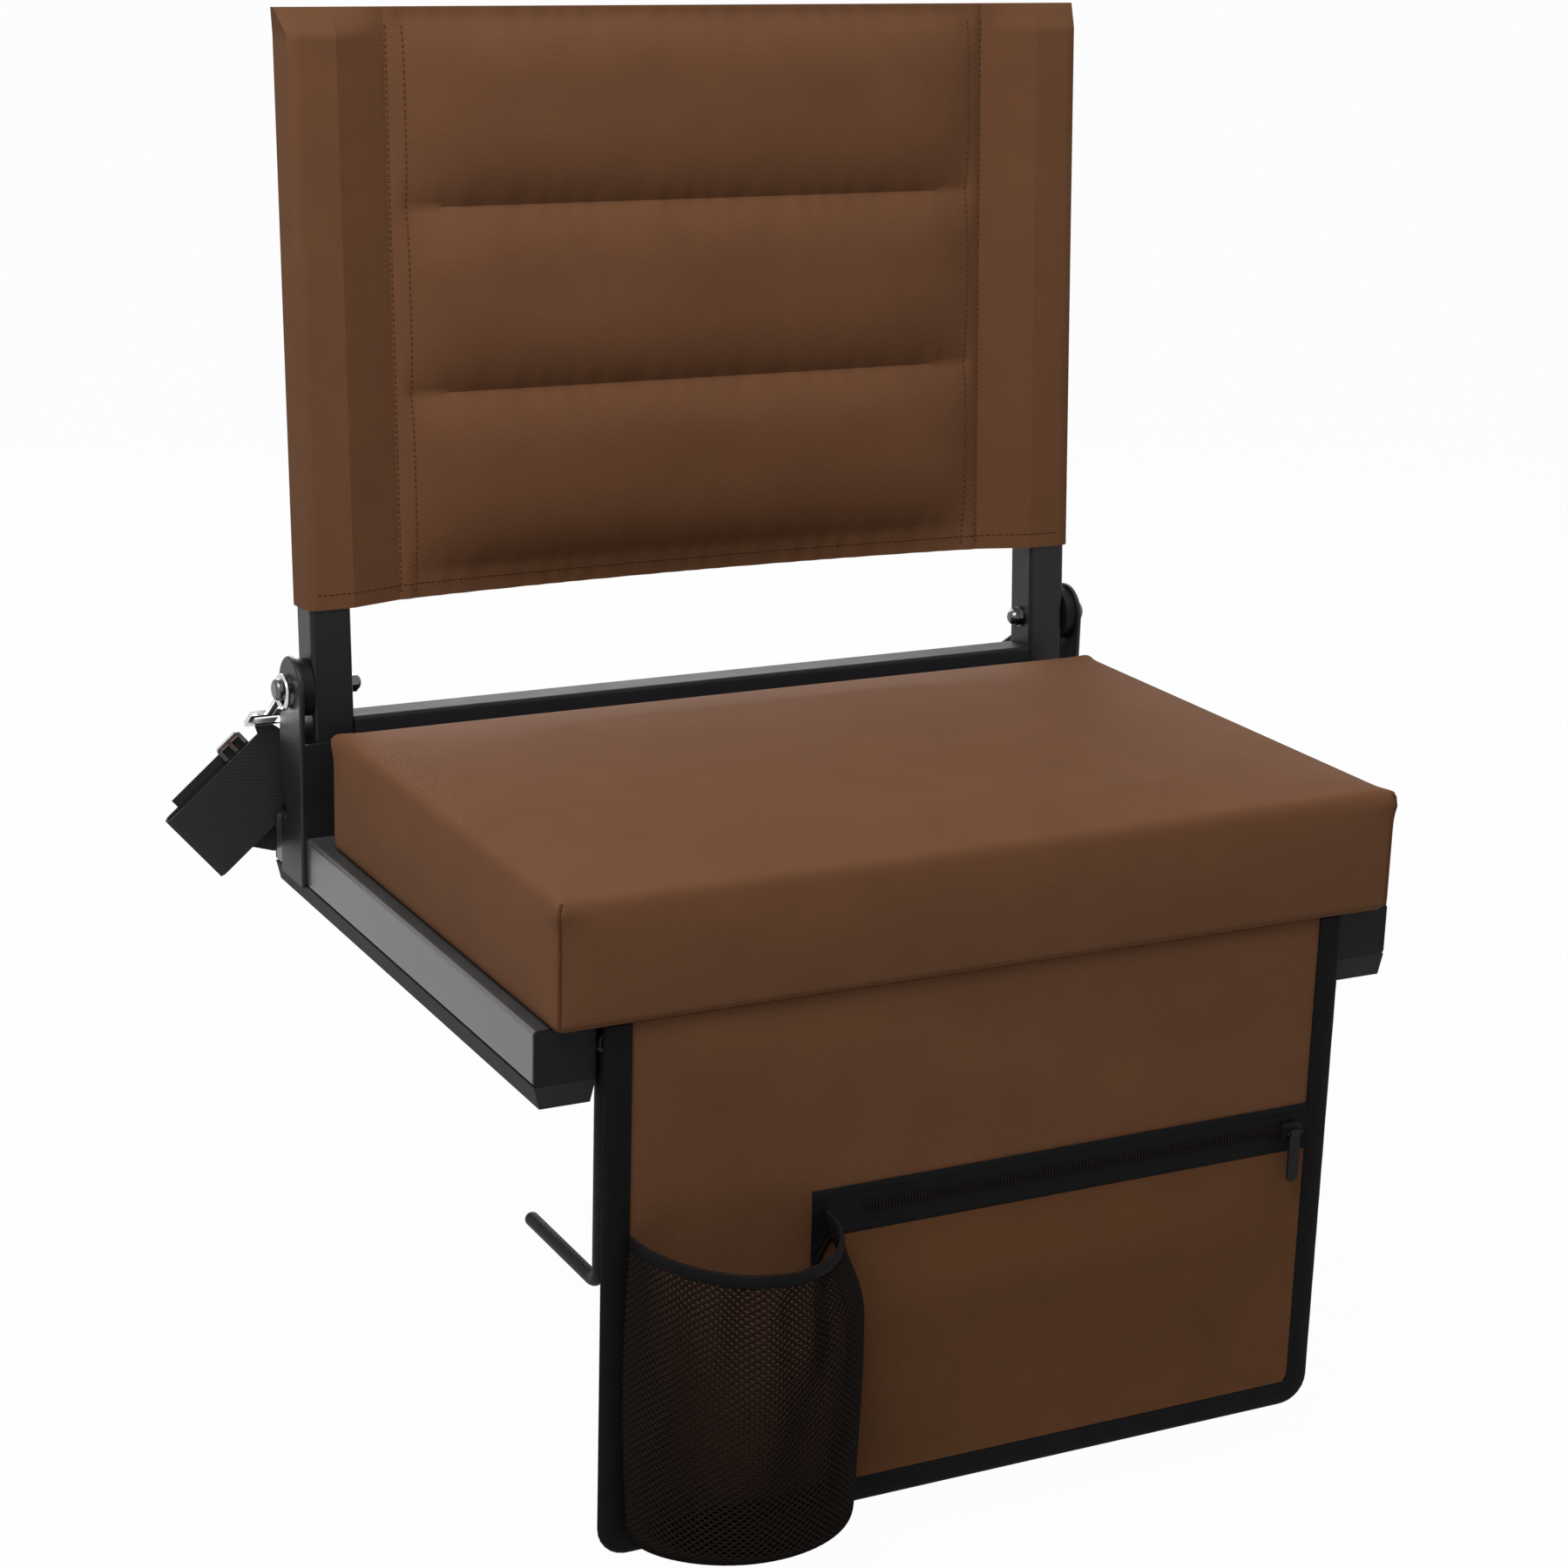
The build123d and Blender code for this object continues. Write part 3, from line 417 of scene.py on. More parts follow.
@dataclass(frozen=True)
class WovenCloth(Finish):
    """Woven cloth with threads along the three axes of the piece."""

    shine: float = 0.08
    shade: float = 0.16
    relief: float = 0.25
    thread: float = 0.0011
    wobble: float = 0.4
    edge_on: tuple[float, float] = (0.6, 0.2)
    cloud: float = 28
    cloud_share: float = 0.4
    thread_share: float = 0.15
    base_share: float = 0.15

    def add_pattern(self, tree: Tree) -> None:
        """Add the weave, its relief and soft differences of shade.

        Args:
            tree: The material's nodes.
        """
        coordinates = tree.nodes.new("ShaderNodeTexCoord")
        facing = tree.nodes.new("ShaderNodeSeparateXYZ")
        tree.links.new(coordinates.outputs["Normal"], facing.inputs["Vector"])
        height: Socket | float = 0.0
        for axis in "XYZ":
            place = coordinates.outputs["Object"]
            thread = self.threads(tree, place, facing.outputs[axis], axis)
            height = calculate(tree, "ADD", height, thread)
        cloud = self.noise(tree, (self.cloud,) * 3, detail=6)
        cloudy = calculate(tree, "MULTIPLY_ADD", cloud, self.cloud_share, self.base_share)
        mixed = calculate(tree, "MULTIPLY_ADD", height, self.thread_share, cloudy)
        self.vary_shade(tree, mixed)
        self.raise_surface(tree, height, self.thread / 3)

    def threads(self, tree: Tree, place: Socket, facing: Socket, axis: str) -> Socket:
        """Lay threads across one axis, and none where the cloth faces along it.

        Args:
            tree: The material's nodes.
            place: The place on the piece.
            facing: How far the cloth faces along the axis.
            axis: X, Y or Z.

        Returns:
            The threads' height from 0 to 1.
        """
        wave = tree.nodes.new("ShaderNodeTexWave")
        wave.bands_direction = axis
        wave.inputs["Scale"].default_value = WAVE_UNIT / self.thread
        wave.inputs["Distortion"].default_value = self.wobble
        tree.links.new(place, wave.inputs["Vector"])
        share = tree.nodes.new("ShaderNodeMapRange")
        for name, value in zip(("From Min", "From Max"), self.edge_on):
            share.inputs[name].default_value = value
        tree.links.new(calculate(tree, "ABSOLUTE", facing), share.inputs["Value"])
        return calculate(tree, "MULTIPLY", wave.outputs["Fac"], share.outputs["Result"])


@dataclass(frozen=True)
class PaintedSteel(Finish):
    """Powder paint on steel, with a fine grain and slightly uneven gloss."""

    shine: float = 0.25
    shade: float = 0.12
    gloss: float = 0.06
    relief: float = 0.06
    grain: float = 1400
    cloud: float = 35

    def add_pattern(self, tree: Tree) -> None:
        """Add the paint's grain and its uneven gloss.

        Args:
            tree: The material's nodes.
        """
        self.raise_surface(tree, self.noise(tree, (self.grain,) * 3, detail=2))
        cloud = self.noise(tree, (self.cloud,) * 3, detail=5)
        self.vary_gloss(tree, cloud)
        self.vary_shade(tree, cloud)


@dataclass(frozen=True)
class PlatedMetal(Finish):
    """Bare or plated metal with fine wear."""

    shade: float = 0.15
    gloss: float = 0.08
    wear: float = 240

    def add_pattern(self, tree: Tree) -> None:
        """Make the surface metal, with rubbed spots.

        Args:
            tree: The material's nodes.
        """
        tree.nodes[SHADER].inputs["Metallic"].default_value = 1
        rubbed = self.noise(tree, (self.wear,) * 3, detail=6)
        self.vary_gloss(tree, rubbed)
        self.vary_shade(tree, rubbed)


@dataclass(frozen=True)
class DullThread(Finish):
    """Dull sewing thread or thin cord."""

    shine: float = 0.1
    shade: float = 0.3
    relief: float = 0.3
    fibre: float = 900

    def add_pattern(self, tree: Tree) -> None:
        """Add the fibres.

        Args:
            tree: The material's nodes.
        """
        fibres = self.noise(tree, (self.fibre,) * 3, detail=4)
        self.vary_shade(tree, fibres)
        self.raise_surface(tree, fibres)


@dataclass(frozen=True)
class BoardWood(Finish):
    """Plain plywood with its grain along the board's width."""

    shade: float = 0.3
    relief: float = 0.2
    grain: Point = (6, 130, 130)

    def add_pattern(self, tree: Tree) -> None:
        """Add the grain.

        Args:
            tree: The material's nodes.
        """
        grain = self.noise(tree, self.grain, detail=6)
        self.vary_shade(tree, grain)
        self.raise_surface(tree, grain)


@dataclass(frozen=True)
class StrapWebbing(Finish):
    """Ribbed webbing whose ribs follow the strap's own length."""

    shine: float = 0.3
    shade: float = 0.2
    relief: float = 0.3
    width: float = 0.05
    length: float = 0.7
    rib: float = 0.0013

    def add_pattern(self, tree: Tree) -> None:
        """Add slanted ribs along the strap.

        Args:
            tree: The material's nodes.
        """
        place = tree.nodes.new("ShaderNodeTexCoord").outputs["UV"]
        metres = tree.nodes.new("ShaderNodeMapping")
        metres.inputs["Scale"].default_value = (self.width, self.length, 1)
        tree.links.new(place, metres.inputs["Vector"])
        wave = tree.nodes.new("ShaderNodeTexWave")
        wave.bands_direction = "DIAGONAL"
        wave.inputs["Scale"].default_value = WAVE_UNIT / self.rib
        tree.links.new(metres.outputs["Vector"], wave.inputs["Vector"])
        self.vary_shade(tree, wave.outputs["Fac"])
        self.raise_surface(tree, wave.outputs["Fac"])


BROWN_CLOTH = WovenCloth("brown_oxford_cloth", (0.13, 0.0565, 0.0255), 0.82, 0.12)
# Painted shade: the pocket is the same brown cloth, given a darker colour for the shade on the low
# pocket.
SHADED_POCKET_CLOTH = WovenCloth("painted_shade_pocket_cloth", (0.107, 0.044, 0.0168), 0.82, 0.12)
BROWN_THREAD = DullThread("brown_sewing_thread", (0.095, 0.04, 0.018), 0.85)
SEAM_CORD = DullThread("red_brown_seam_cord", (0.085, 0.03, 0.0145), 0.85)
BLACK_TAPE = WovenCloth("black_binding_tape", (0.0045, 0.0045, 0.005), 0.75, thread=0.0016)
BLACK_CORD = DullThread("black_net_cord", (0.0075, 0.0048, 0.0037), 0.85)
BLACK_WEBBING = StrapWebbing("black_strap_webbing", (0.012, 0.012, 0.0125), 0.65)
BLACK_PAINT = PaintedSteel("black_powder_paint", (0.008, 0.008, 0.009), 0.4)
TUBE_PAINT = PaintedSteel("black_tube_paint", (0.01, 0.01, 0.012), 0.6, 0.12)
# Painted light: the rails' black paint is given a lighter colour to stand in for the light on
# their outer faces.
LIT_RAIL_PAINT = PaintedSteel("rail_paint_painted_light", (0.038, 0.038, 0.039), 0.3, 0.95)
BLACK_PLASTIC = PaintedSteel("black_moulded_plastic", (0.006, 0.006, 0.0065), 0.5, 0.12, grain=700)
BLACK_RUBBER = PaintedSteel("black_grip_rubber", (0.009, 0.009, 0.009), 0.7, grain=900)
DARK_STEEL = PlatedMetal("dark_bolt_steel", (0.12, 0.12, 0.125), 0.28)
BRIGHT_CHROME = PlatedMetal("bright_chrome_wire", (0.6, 0.6, 0.62), 0.16)
PLAIN_WOOD = BoardWood("plain_board_wood", (0.42, 0.28, 0.16), 0.7)


def dress(finish: Finish, *names: str) -> None:
    """Give CAD nodes a finish.

    Args:
        finish: The finish to use.
        names: Names of the CAD nodes.
    """
    for name in names:
        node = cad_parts[name]
        node.data.materials.clear()
        node.data.materials.append(finish.material())
        LOG.info("dressed %s with %s", name, finish.name)


def hand_over(piece: Piece, name: str, finish: Finish, body: Body) -> Piece:
    """Name a finished piece, give it its finish and put it on its body.

    Args:
        piece: The finished object.
        name: The piece's name.
        finish: The finish to use.
        body: The body it moves with.

    Returns:
        The same object.
    """
    piece.name = name
    piece.data.name = name
    piece.data.materials.clear()
    piece.data.materials.append(finish.material())
    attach(piece, body.value)
    LOG.info("made %s: %d faces", name, len(piece.data.polygons))
    return piece


class SeatFrame:
    """The tube frame with its hinges and hooks, all of it CAD nodes."""

    def dress(self) -> None:
        """Give every hard piece its finish."""
        # The rails take the lighter copy of the black paint, which is painted light.
        dress(LIT_RAIL_PAINT, "left_seat_rail", "right_seat_rail")
        dress(TUBE_PAINT, "front_cross_tube", "rear_cross_tube", "back_crossbar")
        dress(BLACK_PAINT, "left_hinge_bracket", "right_hinge_bracket")
        dress(BLACK_PAINT, "left_back_upright", "right_back_upright")
        dress(BLACK_PAINT, "hook_bolts", "hook_washers", "hook_nuts")
        dress(BLACK_PLASTIC, "rail_end_caps", "upright_end_caps", "hinge_spacers")
        dress(BLACK_PLASTIC, "left_bench_hook", "right_bench_hook", "zip_slider", "zip_pull")
        dress(BLACK_RUBBER, "left_grip_strip", "right_grip_strip")
        dress(DARK_STEEL, "board_screws", "hinge_bolts", "hinge_washers", "hinge_dome_nuts")
        dress(BRIGHT_CHROME, "left_snap_hook", "right_snap_hook", "strap_tri_glide")
        dress(PLAIN_WOOD, "seat_board")


@dataclass
class BoxCushion:
    """The box cushion of the seat, swollen by its filling between sewn corners."""

    low: Point = (-0.254, -0.210, 0.042)
    high: Point = (0.254, 0.118, 0.113)
    ceiling: float = 0.1185
    top_edge: float = 0.0065
    foot_edge: float = 0.003
    corner: float = 0.002
    voxel: float = 0.003
    crown: float = 0.0045
    swell: float = 0.0035
    side_swell: float = 0.002
    side_fade: float = 20
    ear: float = 0.0025
    ear_size: float = 0.009
    fill: float = 0.85
    relax: float = 0.5
    relax_rounds: int = 4
    held_corner: float = 0.008
    held_edge: float = 0.006
    pressure: float = 4
    bending: float = 2
    quality: int = 3
    frames: int = 20
    seam_cord: float = 0.0009
    seam_foot: float = 0.004
    seam_head: float = 0.0015
    seam_sides: int = 8
    seam_rings: int = 19
    seam_reach: float = 0.03

    def build(self) -> None:
        """Make the cushion and its four corner seams."""
        cushion = add_block(self.low, self.high)
        middle = (self.low[2] + self.high[2]) / 2
        bevel(cushion, self.corner, 2, lambda a, b: abs(a.z - b.z) > self.corner)
        bevel(cushion, self.top_edge, 3, lambda a, b: abs(a.z - b.z) < TINY and a.z > middle)
        bevel(cushion, self.foot_edge, 2, lambda a, b: max(a.z, b.z) < self.low[2] + TINY)
        modify(cushion, "REMESH", mode="VOXEL", voxel_size=self.voxel)
        rest = corners(cushion)
        self.inflate(cushion, rest)
        self.shape(cushion, rest)
        modify(cushion, "SMOOTH", factor=self.relax, iterations=self.relax_rounds)
        smooth(cushion, ROUND_ANGLE)
        hand_over(cushion, "seat_cushion", BROWN_CLOTH, Body.SEAT)
        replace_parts(cushion, "cushion_cover", "cushion_foam")
        for side, x in (("left", -self.high[0]), ("right", self.high[0])):
            for end, y in (("front", self.low[1]), ("rear", self.high[1])):
                self.corner_seam(cushion, f"{side}_{end}_corner_seam", x, y)

    def inflate(self, cushion: Piece, rest: Array) -> None:
        """Swell the panels with a short cloth simulation, held at the seams.

        Args:
            cushion: The cushion's remeshed box.
            rest: Its vertices before the simulation.
        """
        beside = np.minimum(rest[:, 0] - self.low[0], self.high[0] - rest[:, 0])
        along = np.minimum(rest[:, 1] - self.low[1], self.high[1] - rest[:, 1])
        corner = np.hypot(beside, along) < self.held_corner
        foot = rest[:, 2] < self.low[2] + self.held_edge
        brim = rest[:, 2] > self.high[2] - self.held_edge
        brim &= np.minimum(beside, along) < self.held_edge
        seams = cushion.vertex_groups.new(name="seams")
        seams.add([int(i) for i in np.flatnonzero(corner | foot | brim)], 1.0, "ADD")
        cloth = cushion.modifiers.new("Filling", "CLOTH")
        cloth.settings.vertex_group_mass = "seams"
        cloth.settings.use_pressure = True
        cloth.settings.uniform_pressure_force = self.pressure
        cloth.settings.effector_weights.gravity = 0
        cloth.settings.quality = self.quality
        cloth.settings.bending_stiffness = self.bending
        cloth.collision_settings.use_collision = False
        cloth.point_cache.frame_start = 1
        cloth.point_cache.frame_end = self.frames
        for step in range(1, self.frames + 1):
            bpy.context.scene.frame_set(step)
        make_active(cushion)
        bpy.ops.object.modifier_apply(modifier=cloth.name)
        bpy.context.scene.frame_set(1)

    def shape(self, cushion: Piece, rest: Array) -> None:
        """Cap how far the cloth moved, crown the top, draw the corners out, flatten the foot.

        Args:
            cushion: The cushion after its simulation.
            rest: Its vertices before the simulation.
        """
        moved = corners(cushion) - rest
        far = np.linalg.norm(moved, axis=1)
        limit = np.minimum(1, self.swell / np.maximum(far, TINY))
        places = rest + moved * limit[:, None]
        half_depth = (self.high[1] - self.low[1]) / 2
        x = rest[:, 0] / self.high[0]
        y = (rest[:, 1] - (self.low[1] + self.high[1]) / 2) / half_depth
        dome = np.clip(1 - x**4, 0, 1) * np.clip(1 - y**2, 0, 1)
        places[:, 2] += self.crown * dome * ramp(rest[:, 2], self.low[2], self.high[2])
        places[:, 0] += self.side_swell * np.clip(x * self.side_fade, -1, 1)
        off_side = self.high[0] * (1 - np.abs(x))
        off_end = half_depth * (1 - np.abs(y))
        near = np.exp(-(off_side**2 + off_end**2) / self.ear_size**2)
        near *= ramp(rest[:, 2], self.high[2] - 2 * self.ear_size, self.high[2])
        places[:, 0] += self.ear * near * np.sign(x)
        places[:, 1] += self.ear * near * np.sign(y)
        places[:, 2] += self.ear / 2 * near
        places[:, 2] = np.clip(places[:, 2], self.low[2], self.ceiling)
        move_corners(cushion, places)

    def corner_seam(self, cushion: Piece, name: str, x: float, y: float) -> None:
        """Sew a raised seam up one corner of the cushion, on the cushion's own surface.

        Args:
            cushion: The finished cushion.
            name: The seam's name.
            x: Sideways place of the corner.
            y: Depth of the corner.
        """
        middle_y = (self.low[1] + self.high[1]) / 2
        inward = Vector((-math.copysign(1, x), math.copysign(1, middle_y - y), 0)).normalized()
        low, high = self.low[2] + self.seam_foot, self.high[2] - self.seam_head
        clear_selection()
        bpy.ops.mesh.primitive_cylinder_add(
            vertices=self.seam_sides, radius=self.seam_cord, depth=1, location=(0, 0, 0.5)
        )
        seam = bpy.context.object
        bpy.ops.object.transform_apply(location=True, rotation=True, scale=True)
        bpy.ops.object.mode_set(mode="EDIT")
        for cut in np.linspace(0, 1, self.seam_rings)[1:-1]:
            bpy.ops.mesh.select_all(action="SELECT")
            bpy.ops.mesh.bisect(plane_co=(0, 0, cut), plane_no=(0, 0, 1))
        bpy.ops.object.mode_set(mode="OBJECT")
        rest = corners(seam)
        places = rest.copy()
        for height in np.unique(rest[:, 2].round(5)):
            z = low + height * (high - low)
            start = Vector((x, y, z)) - inward * self.seam_reach
            hit, spot, _, _ = cushion.ray_cast(start, inward)
            spot = spot if hit else Vector((x, y, z))
            ring = np.abs(rest[:, 2] - height) < CLOSE
            places[ring, :2] += np.array(spot.xy)
            places[ring, 2] = z
        move_corners(seam, places)
        smooth(seam, ROUND_ANGLE)
        hand_over(seam, name, SEAM_CORD, Body.SEAT)


@dataclass
class QuiltedBack:
    """The back cover: two sleeves over the uprights and three quilted channels."""

    pivot_y: float = 0.162
    pivot_z: float = 0.129
    recline: float = 3.9
    foot: float = 0.047
    head: float = 0.388
    first_seam: float = 0.060
    last_seam: float = 0.382
    sleeve_top: float = 0.373
    seam: float = 0.196
    web: float = 0.2289
    side: float = 0.2571
    column_marks: tuple[int, ...] = (0, 8, 14, 20, 116, 122, 128, 136)
    row_marks: tuple[int, ...] = (0, 6, 41, 76, 107, 110, 112)
    sleeve_half: float = 0.0141
    sleeve_round: float = 0.002
    sleeve_turn: float = 0.004
    closed_half: float = 0.0022
    edge: float = 0.0012
    border: float = 0.0105
    border_swell: float = 0.0011
    front_swell: float = 0.0125
    rear_swell: float = 0.0085
    plumpness: float = 3.2
    fullest: float = 0.57
    end_share: float = 0.32
    end_round: float = 0.05
    slack_foot: float = 0.35
    slack_rise: float = 0.02
    channels: int = 3
    calm: float = 0.02
    pucker: float = 0.0005
    pucker_width: float = 0.011
    pucker_waves: tuple[float, float] = (330, 71)
    ripple: float = 0.0006
    ripple_waves: tuple[float, float] = (33, 17)
    cross_waves: tuple[float, float] = (12, 41)
    foot_bow: float = 0.012
    bow_height: float = 0.11
    flare: float = 0.004
    fill: float = 0.6
    hem: float = 0.009
    stitch_pitch: float = 0.0036
    stitch_margin: float = 0.006
    stitch_spare: float = 0.01
    stitch_inset: float = 0.0008
    seam_stitch: Point = (0.0006, 0.0006, 0.0013)
    hem_stitch: Point = (0.0013, 0.0005, 0.0005)

    def build(self) -> None:
        """Make the padded cover and its stitching."""
        sides = (partial(self.cover_side, facing) for facing in (-1, 1))
        cover = sew_two_sided(self.column_marks[-1], self.row_marks[-1], *sides)
        for fold in (self.web, self.seam):
            crease(cover, lambda a, b: max(abs(abs(p.x) - fold) for p in (a, b)) < CLOSE)
        hand_over(cover, "quilted_back", BROWN_CLOTH, Body.BACK)
        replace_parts(cover, "back_cover", "lower_back_pad", "middle_back_pad", "upper_back_pad")
        count = int((self.head - self.foot - self.stitch_spare) / self.stitch_pitch)
        step, half = Vector((0, 0, self.stitch_pitch)), Vector(self.seam_stitch)
        for side, ways in (("left", -1), ("right", 1)):
            for row, inset in enumerate((self.stitch_inset, self.border), 1):
                start = Vector((ways * (self.seam - inset), 0, self.foot + self.stitch_margin))
                self.stitch(f"{side}_seam_stitches_{row}", start, step, count, half)
        count = int(2 * (self.side - self.stitch_margin) / self.stitch_pitch)
        step, half = Vector((self.stitch_pitch, 0, 0)), Vector(self.hem_stitch)
        start = Vector((-count * self.stitch_pitch / 2, 0, self.foot + self.hem))
        self.stitch("foot_hem_stitches", start, step, count, half)

    def place(self, x: Array, up: Array, depth: Array) -> Array:
        """Turn the leaning back's own measures into places.

        Args:
            x: Sideways in metres.
            up: Along the uprights from the pivot.
            depth: Behind the uprights' middle plane.

        Returns:
            One row of x, y, z for each point.
        """
        lean = math.radians(self.recline)
        y = self.pivot_y + up * math.sin(lean) + depth * math.cos(lean)
        z = self.pivot_z + up * math.cos(lean) - depth * math.sin(lean)
        return np.stack([x, y, z], axis=1)

    def spread(self, across: Array, upward: Array) -> tuple[Array, Array]:
        """Spread the grid so that its lines fall on the seams.

        Args:
            across: From 0 at the left side to 1 at the right.
            upward: From 0 at the foot to 1 at the head.

        Returns:
            Sideways and upward measures in metres.
        """
        half = np.array([self.seam - self.border, self.seam, self.web, self.side])
        sides = np.concatenate([-half[::-1], half])
        marks = np.array(self.column_marks) / self.column_marks[-1]
        pitch = (self.last_seam - self.first_seam) / self.channels
        lines = [self.first_seam + pitch * row for row in range(self.channels)]
        heights = np.array([self.foot, *lines, self.sleeve_top, self.last_seam, self.head])
        rises = np.array(self.row_marks) / self.row_marks[-1]
        return np.interp(across, marks, sides), np.interp(upward, rises, heights)

    def closing(self, up: Array) -> Array:
        """Tell how far the sleeves are open: 1 below their tops and 0 at the head."""
        return np.clip((self.head - up) / (self.head - self.sleeve_top), 0, 1)

    def flared(self, x: Array, up: Array) -> Array:
        """Push the flattened sleeve tops outward into corners."""
        outward = ramp(np.abs(x), self.web, self.side) * (1 - self.closing(up))
        return x + np.sign(x) * self.flare * outward

    def sag(self, x: Array, up: Array) -> Array:
        """Give how far the slack foot of the panel bows back."""
        middle = np.clip(1 - (x / self.seam) ** 2, 0, 1)
        return self.foot_bow * middle * np.clip(1 - (up - self.foot) / self.bow_height, 0, 1) ** 2

    def pillow(self, up: Array) -> tuple[Array, Array]:
        """Give the swelling of the channels, without their ends.

        Args:
            up: Along the uprights.

        Returns:
            The swelling from 0 to 1, and the distance to the nearest quilting seam in metres.
        """
        pitch = (self.last_seam - self.first_seam) / self.channels
        share = (up - self.first_seam) / pitch
        part = np.clip(share - np.clip(np.floor(share), 0, self.channels - 1), 0, 1)
        lower, upper = part / self.fullest, (1 - part) / (1 - self.fullest)
        full = 1 - (1 - np.clip(np.minimum(lower, upper), 0, 1)) ** self.plumpness
        slack = ramp(up, self.foot, self.first_seam + self.slack_rise) * (share < 0.5)
        return np.maximum(full, self.slack_foot * slack), np.minimum(part, 1 - part) * pitch

    def thickness(self, x: Array, up: Array, swell: float) -> Array:
        """Give how far one side stands off the middle plane.

        Args:
            x: Sideways in metres.
            up: Along the uprights.
            swell: How far a channel swells on this side.

        Returns:
            The distance in metres.
        """
        beside = np.abs(x)
        pillow, near = self.pillow(up)
        inner = self.seam - self.border - beside
        ends = 1 - (1 - np.clip(inner / self.end_round, 0, 1)) ** 2
        rounding = self.end_share + (1 - self.end_share) * ends
        panel = self.edge + (swell - self.edge) * pillow * rounding
        free = ramp(inner, 0, self.calm)
        fast, slow = self.pucker_waves
        gather = np.exp(-((near / self.pucker_width) ** 2)) * free
        panel += self.pucker * gather * np.sin(x * fast + 2 * np.sin(x * slow))
        waves = np.sin(x * self.ripple_waves[0] + up * self.ripple_waves[1])
        waves *= np.sin(up * self.cross_waves[1] - x * self.cross_waves[0])
        panel += self.ripple * pillow * free * waves
        outward = np.clip(-inner / self.border, 0, 1)
        strip = self.edge + self.border_swell * np.sin(outward * math.pi)
        strip += (swell - self.edge) * self.end_share * pillow * (1 - outward) ** 2
        slope = (beside - self.seam) / (self.web - self.seam)
        slope = self.edge + (self.sleeve_half - self.edge) * slope
        turned = ramp(beside, self.side - self.sleeve_turn, self.side)
        sleeve = self.sleeve_half - self.sleeve_round * turned
        zones = [inner > 0, beside < self.seam, beside < self.web]
        stand = np.select(zones, [panel, strip, slope], sleeve)
        over = np.maximum(stand - self.closed_half, 0)
        return np.minimum(stand, self.closed_half + self.closing(up) * over)

    def cover_side(self, facing: int, across: Array, upward: Array) -> Array:
        """Give the places of the cover's front or rear.

        Args:
            facing: -1 for the front and 1 for the rear.
            across: From 0 at the left side to 1 at the right.
            upward: From 0 at the foot to 1 at the head.

        Returns:
            One row of x, y, z for each point.
        """
        x, up = self.spread(across, upward)
        swell = self.rear_swell if facing > 0 else self.front_swell
        depth = self.sag(x, up) + facing * self.thickness(x, up, swell)
        return self.place(self.flared(x, up), up, depth)

    def stitch(self, name: str, start: Vector, step: Vector, count: int, half: Vector) -> None:
        """Sew a row of stitches that follows the cover's front.

        Args:
            name: The row's name.
            start: First stitch, as sideways, off the cloth and along the uprights.
            step: From one stitch to the next.
            count: How many stitches the row has.
            half: Half the size of one stitch.
        """
        thread = sew_row(start, step, count, half)
        rest = corners(thread)
        x, up = rest[:, 0], rest[:, 2]
        cloth = self.sag(x, up) - self.thickness(x, up, self.front_swell)
        move_corners(thread, self.place(x, up, cloth + rest[:, 1]))
        hand_over(thread, name, BROWN_THREAD, Body.BACK)


